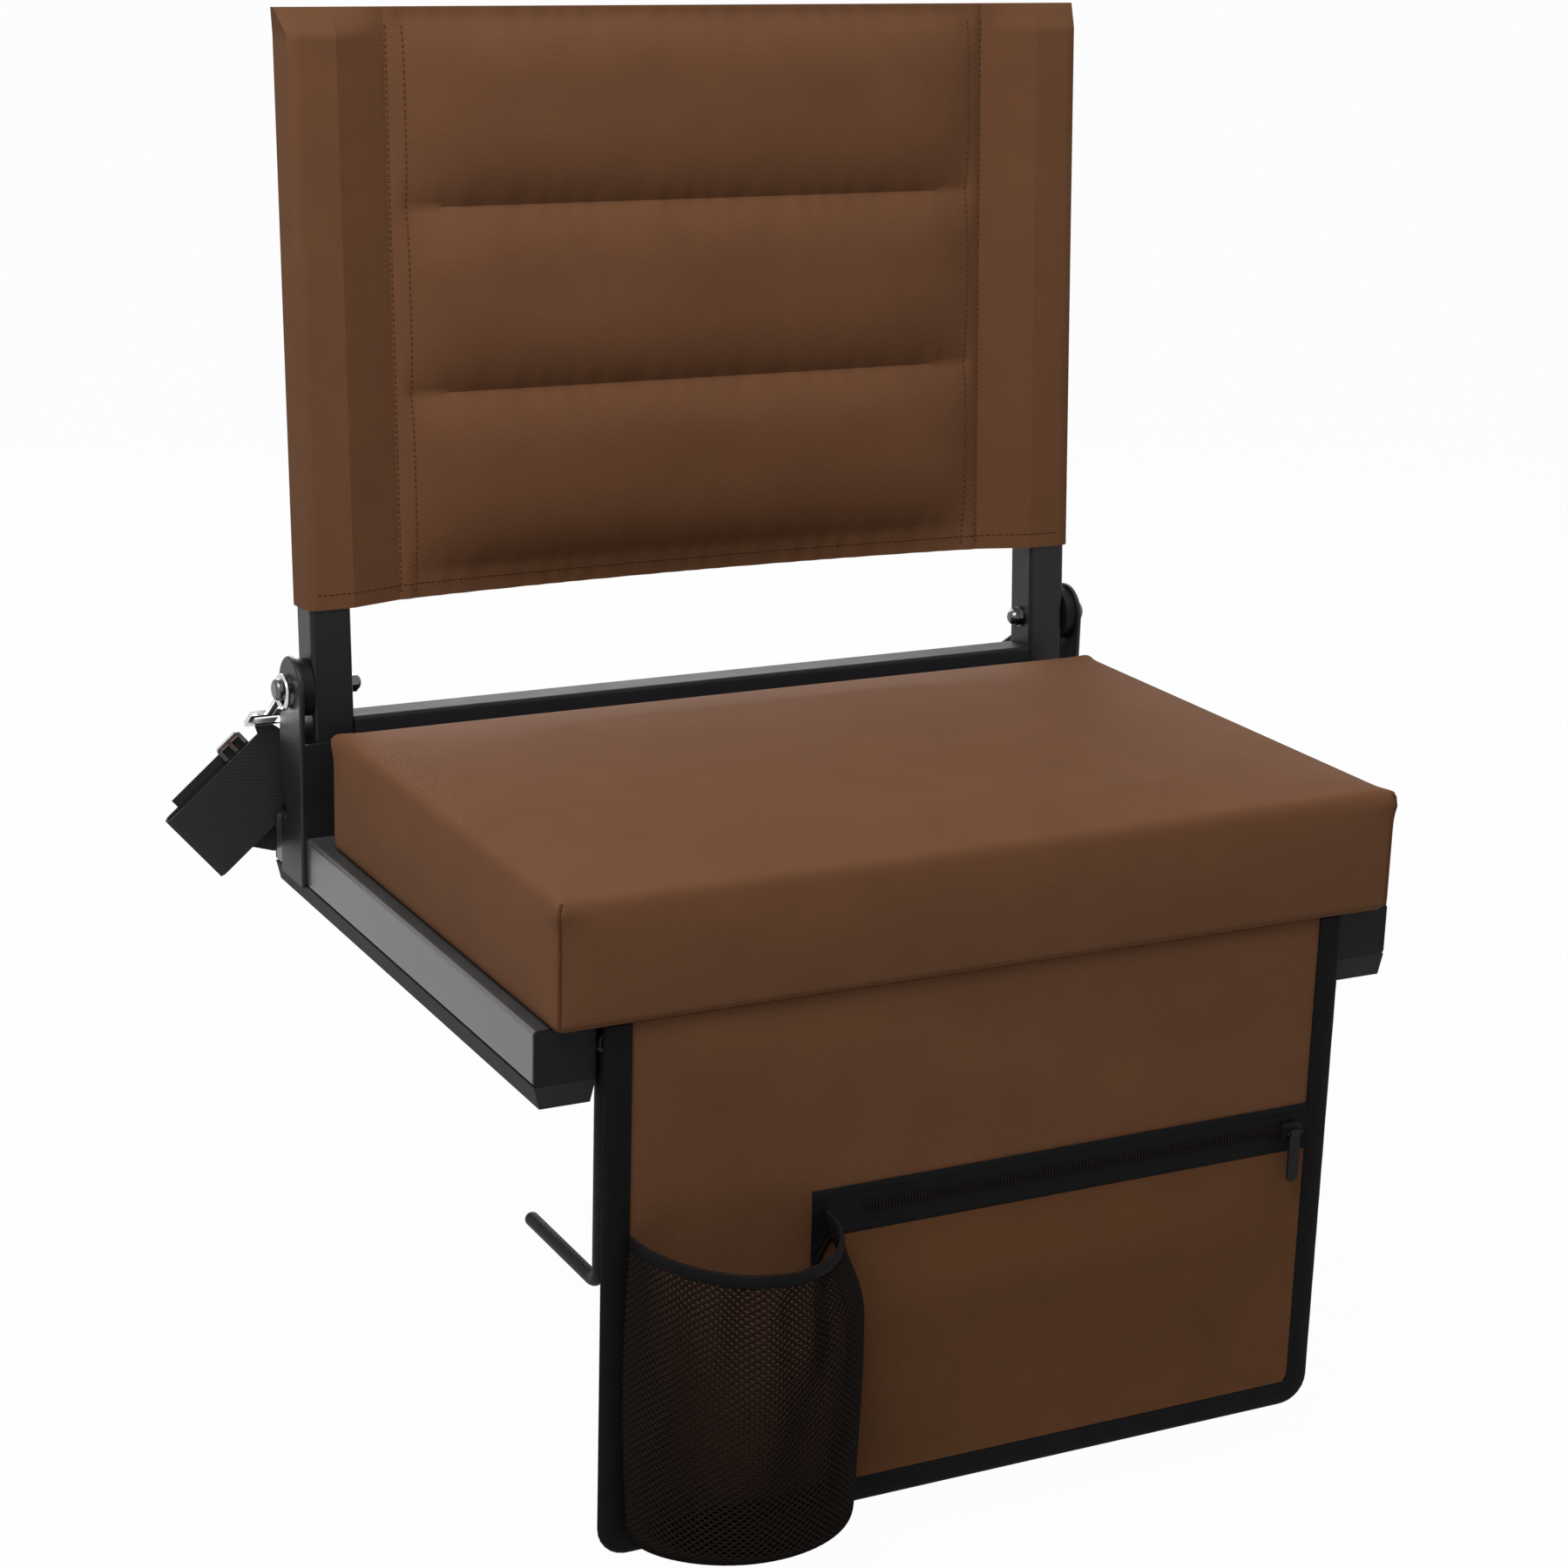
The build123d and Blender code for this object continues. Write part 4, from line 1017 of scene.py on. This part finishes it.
@dataclass
class StorageApron:
    """The hanging apron with its binding and its zip pocket."""

    half: float = 0.226
    top: float = 0.0417
    foot: float = -0.2583
    middle_y: float = -0.205
    skin: float = 0.002
    corner: float = 0.0165
    panel_cells: tuple[int, int] = (64, 48)
    row_crowding: float = 1.15
    ripple: float = 0.0012
    ripple_rise: tuple[float, float] = (-0.065, -0.02)
    ripple_sides: tuple[float, float] = (0.016, 0.06)
    ripple_top: float = 0.03
    ripple_waves: tuple[float, float] = (19, 14)
    ripple_sway: float = 3
    pocket_cells: tuple[int, int] = (64, 36)
    pocket_left: float = -0.092
    pocket_right: float = 0.2117
    pocket_top: float = -0.0966
    pocket_foot: float = -0.244
    pocket_y: float = -0.2063
    pocket_skin: float = 0.0012
    pocket_corner: float = 0.0025
    pocket_swell: float = 0.005
    bulge_top: float = 0.05
    bulge_left: tuple[float, float] = (-0.076, 0.0)
    bulge_right: float = 0.07
    bulge_unevenness: float = 0.15
    bulge_waves: tuple[float, float] = (41, 23)
    binding_cells: tuple[int, int] = (12, 260)
    binding_width: float = 0.014
    binding_skin: float = 0.0012
    binding_roll: float = 0.0013
    binding_flat: tuple[float, float] = (0.012, 0.04)
    binding_fold: float = 0.82
    binding_blunt: float = 0.02
    binding_pucker: float = 0.00025
    pucker_waves: tuple[float, float] = (210, 37)
    band_cells: tuple[int, int] = (120, 24)
    band_left: float = -0.1055
    band_foot: float = -0.0963
    band_top: float = -0.0693
    band_tail: float = 0.02
    band_ridge: float = 0.0007
    band_ridges: tuple[Point, ...] = ((0.82, 0.1, 1.0), (0.48, 0.07, 0.6))
    tooth: Point = (0.00055, 0.0006, 0.0024)
    tooth_pitch: float = 0.002
    chain_left: float = -0.0738
    chain_right: float = 0.2067
    chain_y: float = -0.2075
    chain_z: float = -0.0828

    def build(self) -> None:
        """Make the apron, its pocket and the zip's teeth."""
        faces = (partial(self.panel_side, facing) for facing in (-1, 1))
        panel = sew_two_sided(*self.panel_cells, *faces)
        hand_over(panel, "apron_cloth", BROWN_CLOTH, Body.APRON)
        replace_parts(panel, "apron_panel")
        faces = (partial(self.pocket_side, skin) for skin in (self.pocket_skin, 0.0))
        pocket = sew_two_sided(*self.pocket_cells, *faces)
        # The pocket takes the darker copy of the brown cloth, which is painted shade.
        hand_over(pocket, "zip_pocket_cloth", SHADED_POCKET_CLOTH, Body.APRON)
        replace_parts(pocket, "zip_pocket_panel")
        faces = (partial(self.binding_side, facing) for facing in (-1, 1))
        binding = sew_two_sided(*self.binding_cells, *faces)
        hand_over(binding, "apron_edge_binding", BLACK_TAPE, Body.APRON)
        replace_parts(binding, "apron_binding")
        faces = (partial(self.band_side, is_front) for is_front in (True, False))
        band = sew_two_sided(*self.band_cells, *faces)
        hand_over(band, "zip_band", BLACK_TAPE, Body.APRON)
        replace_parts(band, "zip_tape")
        teeth = self.teeth()

    def panel_side(self, facing: int, across: Array, upward: Array) -> Array:
        """Give the places of the apron's front or rear, with its round lower corners.

        Args:
            facing: -1 for the front and 1 for the rear.
            across: From 0 at the left to 1 at the right.
            upward: From 0 at the foot to 1 at the top.

        Returns:
            One row of x, y, z for each point.
        """
        z = self.foot + upward**self.row_crowding * (self.top - self.foot)
        rise = np.clip(self.corner - (z - self.foot), 0, self.corner)
        x = (2 * across - 1) * (self.half - self.corner + np.sqrt(self.corner**2 - rise**2))
        y = self.middle_y + facing * self.skin / 2 + self.wave(x, z)
        return np.stack([x, y, z], axis=1)

    def wave(self, x: Array, z: Array) -> Array:
        """Give the slack of the cloth above the zip.

        Args:
            x: Sideways in metres.
            z: Upward in metres.

        Returns:
            How far the cloth is pushed back, in metres.
        """
        free = ramp(z, *self.ripple_rise) * ramp(self.half - np.abs(x), *self.ripple_sides)
        free *= ramp(self.top - z, 0, self.ripple_top)
        sideways, upward = self.ripple_waves
        return self.ripple * free * np.sin(x * sideways + self.ripple_sway * np.sin(z * upward))

    def pocket_side(self, skin: float, across: Array, upward: Array) -> Array:
        """Give the places of the pocket's front or rear, with its round lower right corner.

        Args:
            skin: How far the side stands off the pocket's plane.
            across: From 0 at the left to 1 at the right.
            upward: From 0 at the foot to 1 at the top.

        Returns:
            One row of x, y, z for each point.
        """
        z = self.pocket_foot + upward * (self.pocket_top - self.pocket_foot)
        rise = np.clip(self.pocket_corner - (z - self.pocket_foot), 0, self.pocket_corner)
        right = self.pocket_right - self.pocket_corner
        right += np.sqrt(self.pocket_corner**2 - rise**2)
        x = self.pocket_left + across * (right - self.pocket_left)
        return np.stack([x, self.pocket_y - skin - self.bulge(x, z), z], axis=1)

    def bulge(self, x: Array, z: Array) -> Array:
        """Give how far the pocket stands off the apron.

        Args:
            x: Sideways in metres.
            z: Upward in metres.

        Returns:
            The distance in metres.
        """
        level = ramp(z, self.pocket_foot, self.pocket_top)
        level *= ramp(self.pocket_top - z, 0, self.bulge_top)
        beside = ramp(x, *self.bulge_left) * ramp(self.pocket_right - x, 0, self.bulge_right)
        sideways, upward = self.bulge_waves
        uneven = 1 + self.bulge_unevenness * np.sin(x * sideways + z * upward)
        return self.pocket_swell * level * beside * uneven

    def binding_side(self, facing: int, across: Array, along: Array) -> Array:
        """Give places on the tape that is folded round the apron's sides and foot.

        Args:
            facing: -1 for the front and 1 for the rear.
            across: From 0 at the tape's inner edge to 1 at its fold.
            along: From 0 at the top left to 1 at the top right.

        Returns:
            One row of x, y, z for each point.
        """
        side = self.top - self.foot - self.corner
        arc = self.corner * math.pi / 2
        floor = 2 * (self.half - self.corner)
        run = along * (2 * side + 2 * arc + floor)
        first = np.clip((run - side) / self.corner, 0, math.pi / 2)
        second = np.clip((run - side - arc - floor) / self.corner, 0, math.pi / 2)
        x = -self.half + self.corner * (1 - np.cos(first) + np.sin(second))
        x += np.clip(run - side - arc, 0, floor)
        z = self.top - np.clip(run, 0, side) - self.corner * (np.sin(first) - 1 + np.cos(second))
        z += np.clip(run - side - 2 * arc - floor, 0, side)
        inward = self.binding_width - across * (self.binding_width + self.binding_skin)
        bent = np.clip((across - self.binding_fold) / (1 - self.binding_fold), 0, 1)
        fold = np.sqrt(np.clip(1 - bent**2, self.binding_blunt, 1))
        fast, slow = self.pucker_waves
        pucker = self.binding_pucker * np.sin(run * fast + 2 * np.sin(run * slow))
        full = np.sin(across * math.pi) * ramp(self.top - z, *self.binding_flat)
        thick = self.skin / 2 + self.binding_skin + (self.binding_roll + pucker) * full
        turn = first + second
        y = self.middle_y + facing * thick * fold
        return np.stack([x + inward * np.cos(turn), y, z + inward * np.sin(turn)], axis=1)

    def band_side(self, is_front: bool, across: Array, upward: Array) -> Array:
        """Give places on the zip's band, ridged in front and turned down at its left end.

        Args:
            is_front: Whether it is the front.
            across: From 0 at the left to 1 at the right.
            upward: From 0 at the foot to 1 at the top.

        Returns:
            One row of x, y, z for each point.
        """
        x = self.band_left + across * (self.pocket_right - self.band_left)
        foot = self.band_foot - self.band_tail * (1 - ramp(x, self.band_left, self.pocket_left))
        z = foot + upward * (self.band_top - foot)
        away = np.abs(2 * upward - 1)
        off = np.full_like(x, self.pocket_skin)
        for middle, width, share in self.band_ridges:
            off += self.band_ridge * share * np.exp(-(((away - middle) / width) ** 2))
        return np.stack([x, self.pocket_y - off * is_front, z], axis=1)

    def teeth(self) -> Piece:
        """Make the row of zip teeth.

        Returns:
            The row as one object.
        """
        half = Vector(self.tooth)
        start = Vector((self.chain_left + half.x, self.chain_y - half.y, self.chain_z))
        count = int((self.chain_right - self.chain_left) / self.tooth_pitch)
        row = sew_row(start, Vector((self.tooth_pitch, 0, 0)), count, half)
        hand_over(row, "zip_teeth", BLACK_CORD, Body.APRON)
        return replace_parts(row, "zip_chain")


@dataclass
class MeshCupHolder:
    """The net bag of the cup holder, with real holes, its cloth foot and its rim."""

    middle: float = -0.148
    half: float = 0.063
    reach: float = 0.060
    back: float = -0.2078
    belly: float = 0.0035
    rim: float = -0.0763
    dip: float = 0.006
    right_drop: float = 0.004
    right_draw: float = 0.0125
    draw_start: float = 0.7
    foot: float = -0.2563
    foot_rise: float = 0.016
    foot_inset: float = -0.001
    inset_end: float = 0.25
    left_tuck: float = 0.014
    fold: float = 0.0026
    folds: float = 7
    fold_slant: float = 3
    gather: float = 0.0022
    gathers: float = 15
    gather_start: tuple[float, float] = (0.5, 0.85)
    gather_end: tuple[float, float] = (0.9, 1.0)
    cord: float = 0.0021
    net_cells: tuple[int, int] = (84, 104)
    foot_cells: tuple[int, int] = (32, 12)
    rim_cells: tuple[int, int] = (64, 4)
    turn: float = 0.22
    foot_skin: float = 0.0008
    rim_width: float = 0.006
    rim_skin: float = 0.0012
    rim_roll: float = 0.0006

    def build(self) -> None:
        """Make the net, its cloth foot and its elastic rim."""
        net = lay_grid(*self.net_cells, self.surface)
        modify(net, "DECIMATE", decimate_type="UNSUBDIV", iterations=1)
        modify(net, "WIREFRAME", thickness=self.cord, use_even_offset=False, use_boundary=True)
        smooth(net, ROUND_ANGLE)
        hand_over(net, "cup_holder_net", BLACK_CORD, Body.APRON)
        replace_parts(net, "cup_holder")
        foot = lay_grid(*self.foot_cells, self.foot_surface)
        modify(foot, "SOLIDIFY", thickness=self.foot_skin, offset=0.0)
        smooth(foot, ROUND_ANGLE)
        hand_over(foot, "cup_holder_foot", BLACK_TAPE, Body.APRON)
        outside = partial(self.rim_side, self.rim_skin, self.rim_roll)
        inside = partial(self.rim_side, -self.rim_skin / 2, 0.0)
        rim = sew_two_sided(*self.rim_cells, outside, inside)
        hand_over(rim, "cup_holder_rim", BLACK_TAPE, Body.APRON)
        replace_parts(rim, "cup_holder_hem")

    def rim_height(self, x: Array) -> Array:
        """Give how high the dipping rim is at each sideways place.

        Args:
            x: Sideways in metres.

        Returns:
            Heights in metres.
        """
        bend = (self.half**2 + self.dip**2) / (2 * self.dip)
        away = np.clip(np.abs(x - self.middle), 0, self.half)
        lower = self.right_drop * np.clip((x - self.middle) / self.half, 0, 1) ** 2
        return self.rim - self.dip + bend - np.sqrt(bend**2 - away**2) - lower

    def rim_side(self, skin: float, roll: float, across: Array, upward: Array) -> Array:
        """Give places on one side of the elastic rim.

        Args:
            skin: How far the side stands off the bag.
            roll: How much further its middle stands off.
            across: From 0 at the left end to 1 at the right, round the front.
            upward: From 0 at the rim's lower edge to 1 at its upper edge.

        Returns:
            One row of x, y, z for each point.
        """
        off = skin + roll * np.sin(upward * math.pi)
        angle = (1 - across) * math.pi
        half = self.half + off - self.right_draw * (np.cos(angle) > 0)
        x = self.middle + half * np.cos(angle)
        y = self.back - (self.reach + off) * np.sin(angle)
        return np.stack([x, y, self.rim_height(x) - self.rim_width * (1 - upward)], axis=1)

    def surface(self, across: Array, upward: Array) -> Array:
        """Give the places of the bag's skin.

        Args:
            across: From 0 at the right edge to 1 at the left edge, round the front.
            upward: From 0 where the floor joins the apron to 1 at the rim.

        Returns:
            One row of x, y, z for each point.
        """
        angle = across * math.pi
        curl = np.clip(upward / self.turn, 0, 1) * math.pi / 2
        wall = np.clip((upward - self.turn) / (1 - self.turn), 0, 1)
        inset = self.foot_inset * (1 - ramp(wall, 0, self.inset_end))
        hump = np.sin(math.pi * wall)
        swell = self.belly * hump
        crumple = self.fold * np.sin(self.folds * angle + self.fold_slant * wall) * hump
        gathered = ramp(wall, *self.gather_start) * (1 - ramp(wall, *self.gather_end))
        crumple += self.gather * np.sin(self.gathers * angle) * gathered
        right = self.half - inset + swell - self.right_draw * ramp(wall, self.draw_start, 1)
        left = self.half + swell - self.left_tuck * (1 - np.sin(curl))
        reach = (self.reach - inset + swell + crumple * np.sin(angle)) * np.sin(curl)
        x = self.middle + np.where(np.cos(angle) > 0, right, left) * np.cos(angle)
        y = self.back - reach * np.sin(angle)
        low = self.foot + self.foot_rise * (1 - np.cos(curl))
        z = low + (self.rim_height(x) - self.foot - self.foot_rise) * wall
        return np.stack([x, y, z], axis=1)

    def foot_surface(self, across: Array, upward: Array) -> Array:
        """Give the places of the bag's foot, the part of its skin below the walls."""
        return self.surface(across, upward * self.turn)


@dataclass
class ShoulderStrap:
    """The webbing strap, folded at its left end and hanging behind the seat."""

    strap_cells: tuple[int, int] = (10, 260)
    layer_cells: tuple[int, int] = (10, 12)
    width: float = 0.05
    skin: float = 0.0016
    slope: float = 41.0
    fold_x: float = -0.3104
    fold_z: float = 0.0255
    fold_steps: int = 8
    front_y: float = 0.2018
    rear_y: float = 0.2074
    front_marks: tuple[float, ...] = (0.036, 0.024, 0.012, 0.0)
    rear_marks: tuple[float, ...] = (0.0, 0.01, 0.021)
    end_x: float = 0.26875
    left_end_z: float = 0.0968
    right_end_z: float = 0.1102
    end_half: float = 0.0055
    upper_run: float = 0.072
    lower_run: float = 0.050
    neck_x: float = -0.240
    neck_z: float = 0.080
    neck_step: float = 0.004
    layer_start: float = 0.008
    layer_run: float = 0.056
    layer_shift: float = 0.006
    layer_y: float = 0.2067
    run_start: float = -0.262
    run_end: float = 0.19
    run_z: float = 0.0405
    run_sag: float = 0.014
    run_marks: int = 25

    def build(self) -> None:
        """Make the strap as one ribbon, and the short second layer at its fold."""
        rows = self.stations()
        gaps = np.linalg.norm(np.diff(rows[:, :3], axis=0), axis=1)
        run = np.concatenate([[0], np.cumsum(gaps)])
        strap = lay_grid(*self.strap_cells, partial(self.ribbon, rows, run))
        modify(strap, "SOLIDIFY", thickness=self.skin, offset=0.0)
        smooth(strap, CLOTH_ANGLE)
        hand_over(strap, "strap_webbing", BLACK_WEBBING, Body.SEAT)
        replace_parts(strap, "shoulder_strap")
        layer = lay_grid(*self.layer_cells, self.second_layer)
        modify(layer, "SOLIDIFY", thickness=self.skin / 2, offset=0.0)
        smooth(layer, CLOTH_ANGLE)
        hand_over(layer, "strap_second_layer", BLACK_WEBBING, Body.SEAT)

    def stations(self) -> Array:
        """List the strap's middle and half width from its left end to its right.

        Returns:
            Rows of middle x, y, z and half width x, z.
        """
        slope = math.radians(self.slope)
        along = np.array([math.cos(slope), math.sin(slope)])
        half = self.width / 2 * np.array([math.sin(slope), -math.cos(slope)])
        fold = np.array([self.fold_x, self.fold_z])
        rows = [(-self.end_x, self.front_y, self.left_end_z, self.end_half, 0)]
        neck = np.array([self.neck_x, self.neck_z])
        low = fold + self.lower_run * along + half
        for reach, below in ((self.upper_run, neck), (self.upper_run - self.neck_step, low)):
            high = fold + reach * along - half
            middle = (high + below) / 2
            rows.append((middle[0], self.front_y, middle[1], *((below - high) / 2)))
        centre, radius = (self.rear_y + self.front_y) / 2, (self.rear_y - self.front_y) / 2
        marks = [(forward, self.front_y) for forward in self.front_marks]
        for step in range(1, self.fold_steps):
            turn = math.pi * step / self.fold_steps
            marks.append((-radius * math.sin(turn), centre - radius * math.cos(turn)))
        marks += [(forward, self.rear_y) for forward in self.rear_marks]
        for forward, y in marks:
            middle = fold + forward * along
            rows.append((middle[0], y, middle[1], *half))
        for share in np.linspace(0, 1, self.run_marks):
            x = self.run_start + share * (self.run_end - self.run_start)
            z = self.run_z - self.run_sag * (1 - (2 * share - 1) ** 2)
            rows.append((x, self.rear_y, z, 0, -self.width / 2))
        rows.append((self.end_x, self.rear_y, self.right_end_z, self.end_half, 0))
        return np.array(rows)

    def ribbon(self, rows: Array, run: Array, across: Array, along: Array) -> Array:
        """Give the places of the strap.

        Args:
            rows: The strap's stations.
            run: How far along the strap each station is.
            across: From 0 at one edge to 1 at the other.
            along: From 0 at the left end to 1 at the right.

        Returns:
            One row of x, y, z for each point.
        """
        side, share = 2 * across - 1, along * run[-1]
        x, y, z, half_x, half_z = (np.interp(share, run, column) for column in rows.T)
        return np.stack([x + side * half_x, y, z + side * half_z], axis=1)

    def second_layer(self, across: Array, along: Array) -> Array:
        """Give the places of the short layer that runs from the fold to the tri-glide.

        Args:
            across: From 0 at one edge to 1 at the other.
            along: From 0 at the fold to 1 at the tri-glide.

        Returns:
            One row of x, y, z for each point.
        """
        slope = math.radians(self.slope)
        side = (across - 0.5) * self.width - self.layer_shift
        forward = self.layer_start + along * self.layer_run
        x = self.fold_x + forward * math.cos(slope) + side * math.sin(slope)
        z = self.fold_z + forward * math.sin(slope) - side * math.cos(slope)
        return np.stack([x, np.full_like(x, self.layer_y), z], axis=1)


@dataclass(frozen=True)
class SoftLamp:
    """A square lamp that faces the seat."""

    name: str
    place: Point
    size: float
    power: float
    target: Point = (0, 0, 0.1)

    def hang(self) -> None:
        """Hang the lamp in its place."""
        data = bpy.data.lights.new(self.name, "AREA")
        data.size = self.size
        data.energy = self.power
        lamp = bpy.data.objects.new(self.name, data)
        lamp.location = self.place
        ahead = Vector(self.target) - Vector(self.place)
        lamp.rotation_euler = ahead.to_track_quat("-Z", "Y").to_euler()
        bpy.context.scene.collection.objects.link(lamp)


@dataclass
class Studio:
    """Camera, soft light and a pale floor."""

    eye: Point = (-0.8788, -1.6513, 0.6488)
    yaw: float = 27.41
    pitch: float = 16.75
    roll: float = -1.64
    lens: float = 77.07
    sensor: float = 36
    sight: float = 50
    floor_z: float = -0.29
    floor_size: float = 30
    floor_grey: float = 0.45
    floor_roughness: float = 0.9
    floor_glow: float = 0.975
    sky: float = 0.3
    lamps: tuple[SoftLamp, ...] = (
        SoftLamp("key_light", (-1.1, -0.82, 1.95), 1.2, 52),
        SoftLamp("side_light", (2.2, -0.6, 1.9), 1.4, 9),
        SoftLamp("rear_light", (0.7, 2.3, 1.1), 1.4, 34),
    )

    def build(self) -> None:
        """Set up the whole studio."""
        bpy.context.scene.view_settings.view_transform = "Standard"
        self.camera()
        self.floor()
        self.world()
        for lamp in self.lamps:
            lamp.hang()

    def camera(self) -> None:
        """Put the camera where the photograph was taken."""
        yaw, pitch, roll = (math.radians(a) for a in (self.yaw, self.pitch, self.roll))
        level = Vector((math.sin(yaw), math.cos(yaw), 0))
        ahead = level * math.cos(pitch) - Vector((0, 0, math.sin(pitch)))
        right = Vector((math.cos(yaw), -math.sin(yaw), 0))
        down = ahead.cross(right)
        across = math.cos(roll) * right + math.sin(roll) * down
        below = -math.sin(roll) * right + math.cos(roll) * down
        data = bpy.data.cameras.new("photo_camera")
        data.sensor_width = self.sensor
        data.lens = self.lens
        data.clip_end = self.sight
        camera = bpy.data.objects.new("photo_camera", data)
        turn = Matrix((across, -below, -ahead)).transposed().to_4x4()
        camera.matrix_world = Matrix.Translation(self.eye) @ turn
        bpy.context.scene.collection.objects.link(camera)
        bpy.context.scene.camera = camera

    def floor(self) -> None:
        """Lay a wide pale floor under the seat."""
        clear_selection()
        bpy.ops.mesh.primitive_plane_add(size=self.floor_size, location=(0, 0, self.floor_z))
        floor = bpy.context.object
        floor.name = "studio_floor"
        material = bpy.data.materials.new("pale_floor")
        material.use_nodes = True
        tree = material.node_tree
        plain = tree.nodes[SHADER]
        plain.inputs["Base Color"].default_value = (*(self.floor_grey,) * 3, 1)
        plain.inputs["Roughness"].default_value = self.floor_roughness
        glow = tree.nodes.new("ShaderNodeEmission")
        share = calculate(tree, "MULTIPLY", self.seen(tree), self.floor_glow)
        both = self.mix(tree, share, plain.outputs["BSDF"], glow.outputs["Emission"])
        tree.links.new(both, tree.nodes["Material Output"].inputs["Surface"])
        floor.data.materials.append(material)

    def world(self) -> None:
        """Fill the studio with soft light and show white behind the seat."""
        world = bpy.data.worlds.new("studio_world")
        world.use_nodes = True
        tree = world.node_tree
        fill, white = tree.nodes["Background"], tree.nodes.new("ShaderNodeBackground")
        for light in (fill, white):
            light.inputs["Color"].default_value = WHITE
        fill.inputs["Strength"].default_value = self.sky
        outputs = (light.outputs["Background"] for light in (fill, white))
        both = self.mix(tree, self.seen(tree), *outputs)
        tree.links.new(both, tree.nodes["World Output"].inputs["Surface"])
        bpy.context.scene.world = world

    def mix(self, tree: Tree, share: Socket, first: Socket, second: Socket) -> Socket:
        """Mix two shaders.

        Args:
            tree: Nodes of a material or of the world.
            share: How much of the second shader there is.
            first: The first shader.
            second: The second shader.

        Returns:
            The mixed shader's socket.
        """
        both = tree.nodes.new("ShaderNodeMixShader")
        for entry, value in zip(both.inputs, (share, first, second)):
            tree.links.new(value, entry)
        return both.outputs["Shader"]

    def seen(self, tree: Tree) -> Socket:
        """Tell whether a ray comes from the camera, a mirror or through glass.

        Args:
            tree: Nodes of a material or of the world.

        Returns:
            A socket that is 1 for such a ray.
        """
        path = tree.nodes.new("ShaderNodeLightPath").outputs
        direct = calculate(tree, "MAXIMUM", path["Is Camera Ray"], path["Is Glossy Ray"])
        return calculate(tree, "MAXIMUM", direct, path["Is Transmission Ray"])


def main() -> None:
    """Build the seat's pieces in order, then set up the studio."""
    logging.basicConfig(level=logging.INFO, format="%(message)s")
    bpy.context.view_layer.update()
    SeatFrame().dress()
    BoxCushion().build()
    QuiltedBack().build()
    StorageApron().build()
    MeshCupHolder().build()
    ShoulderStrap().build()
    Studio().build()


if __name__ == "__main__":
    main()
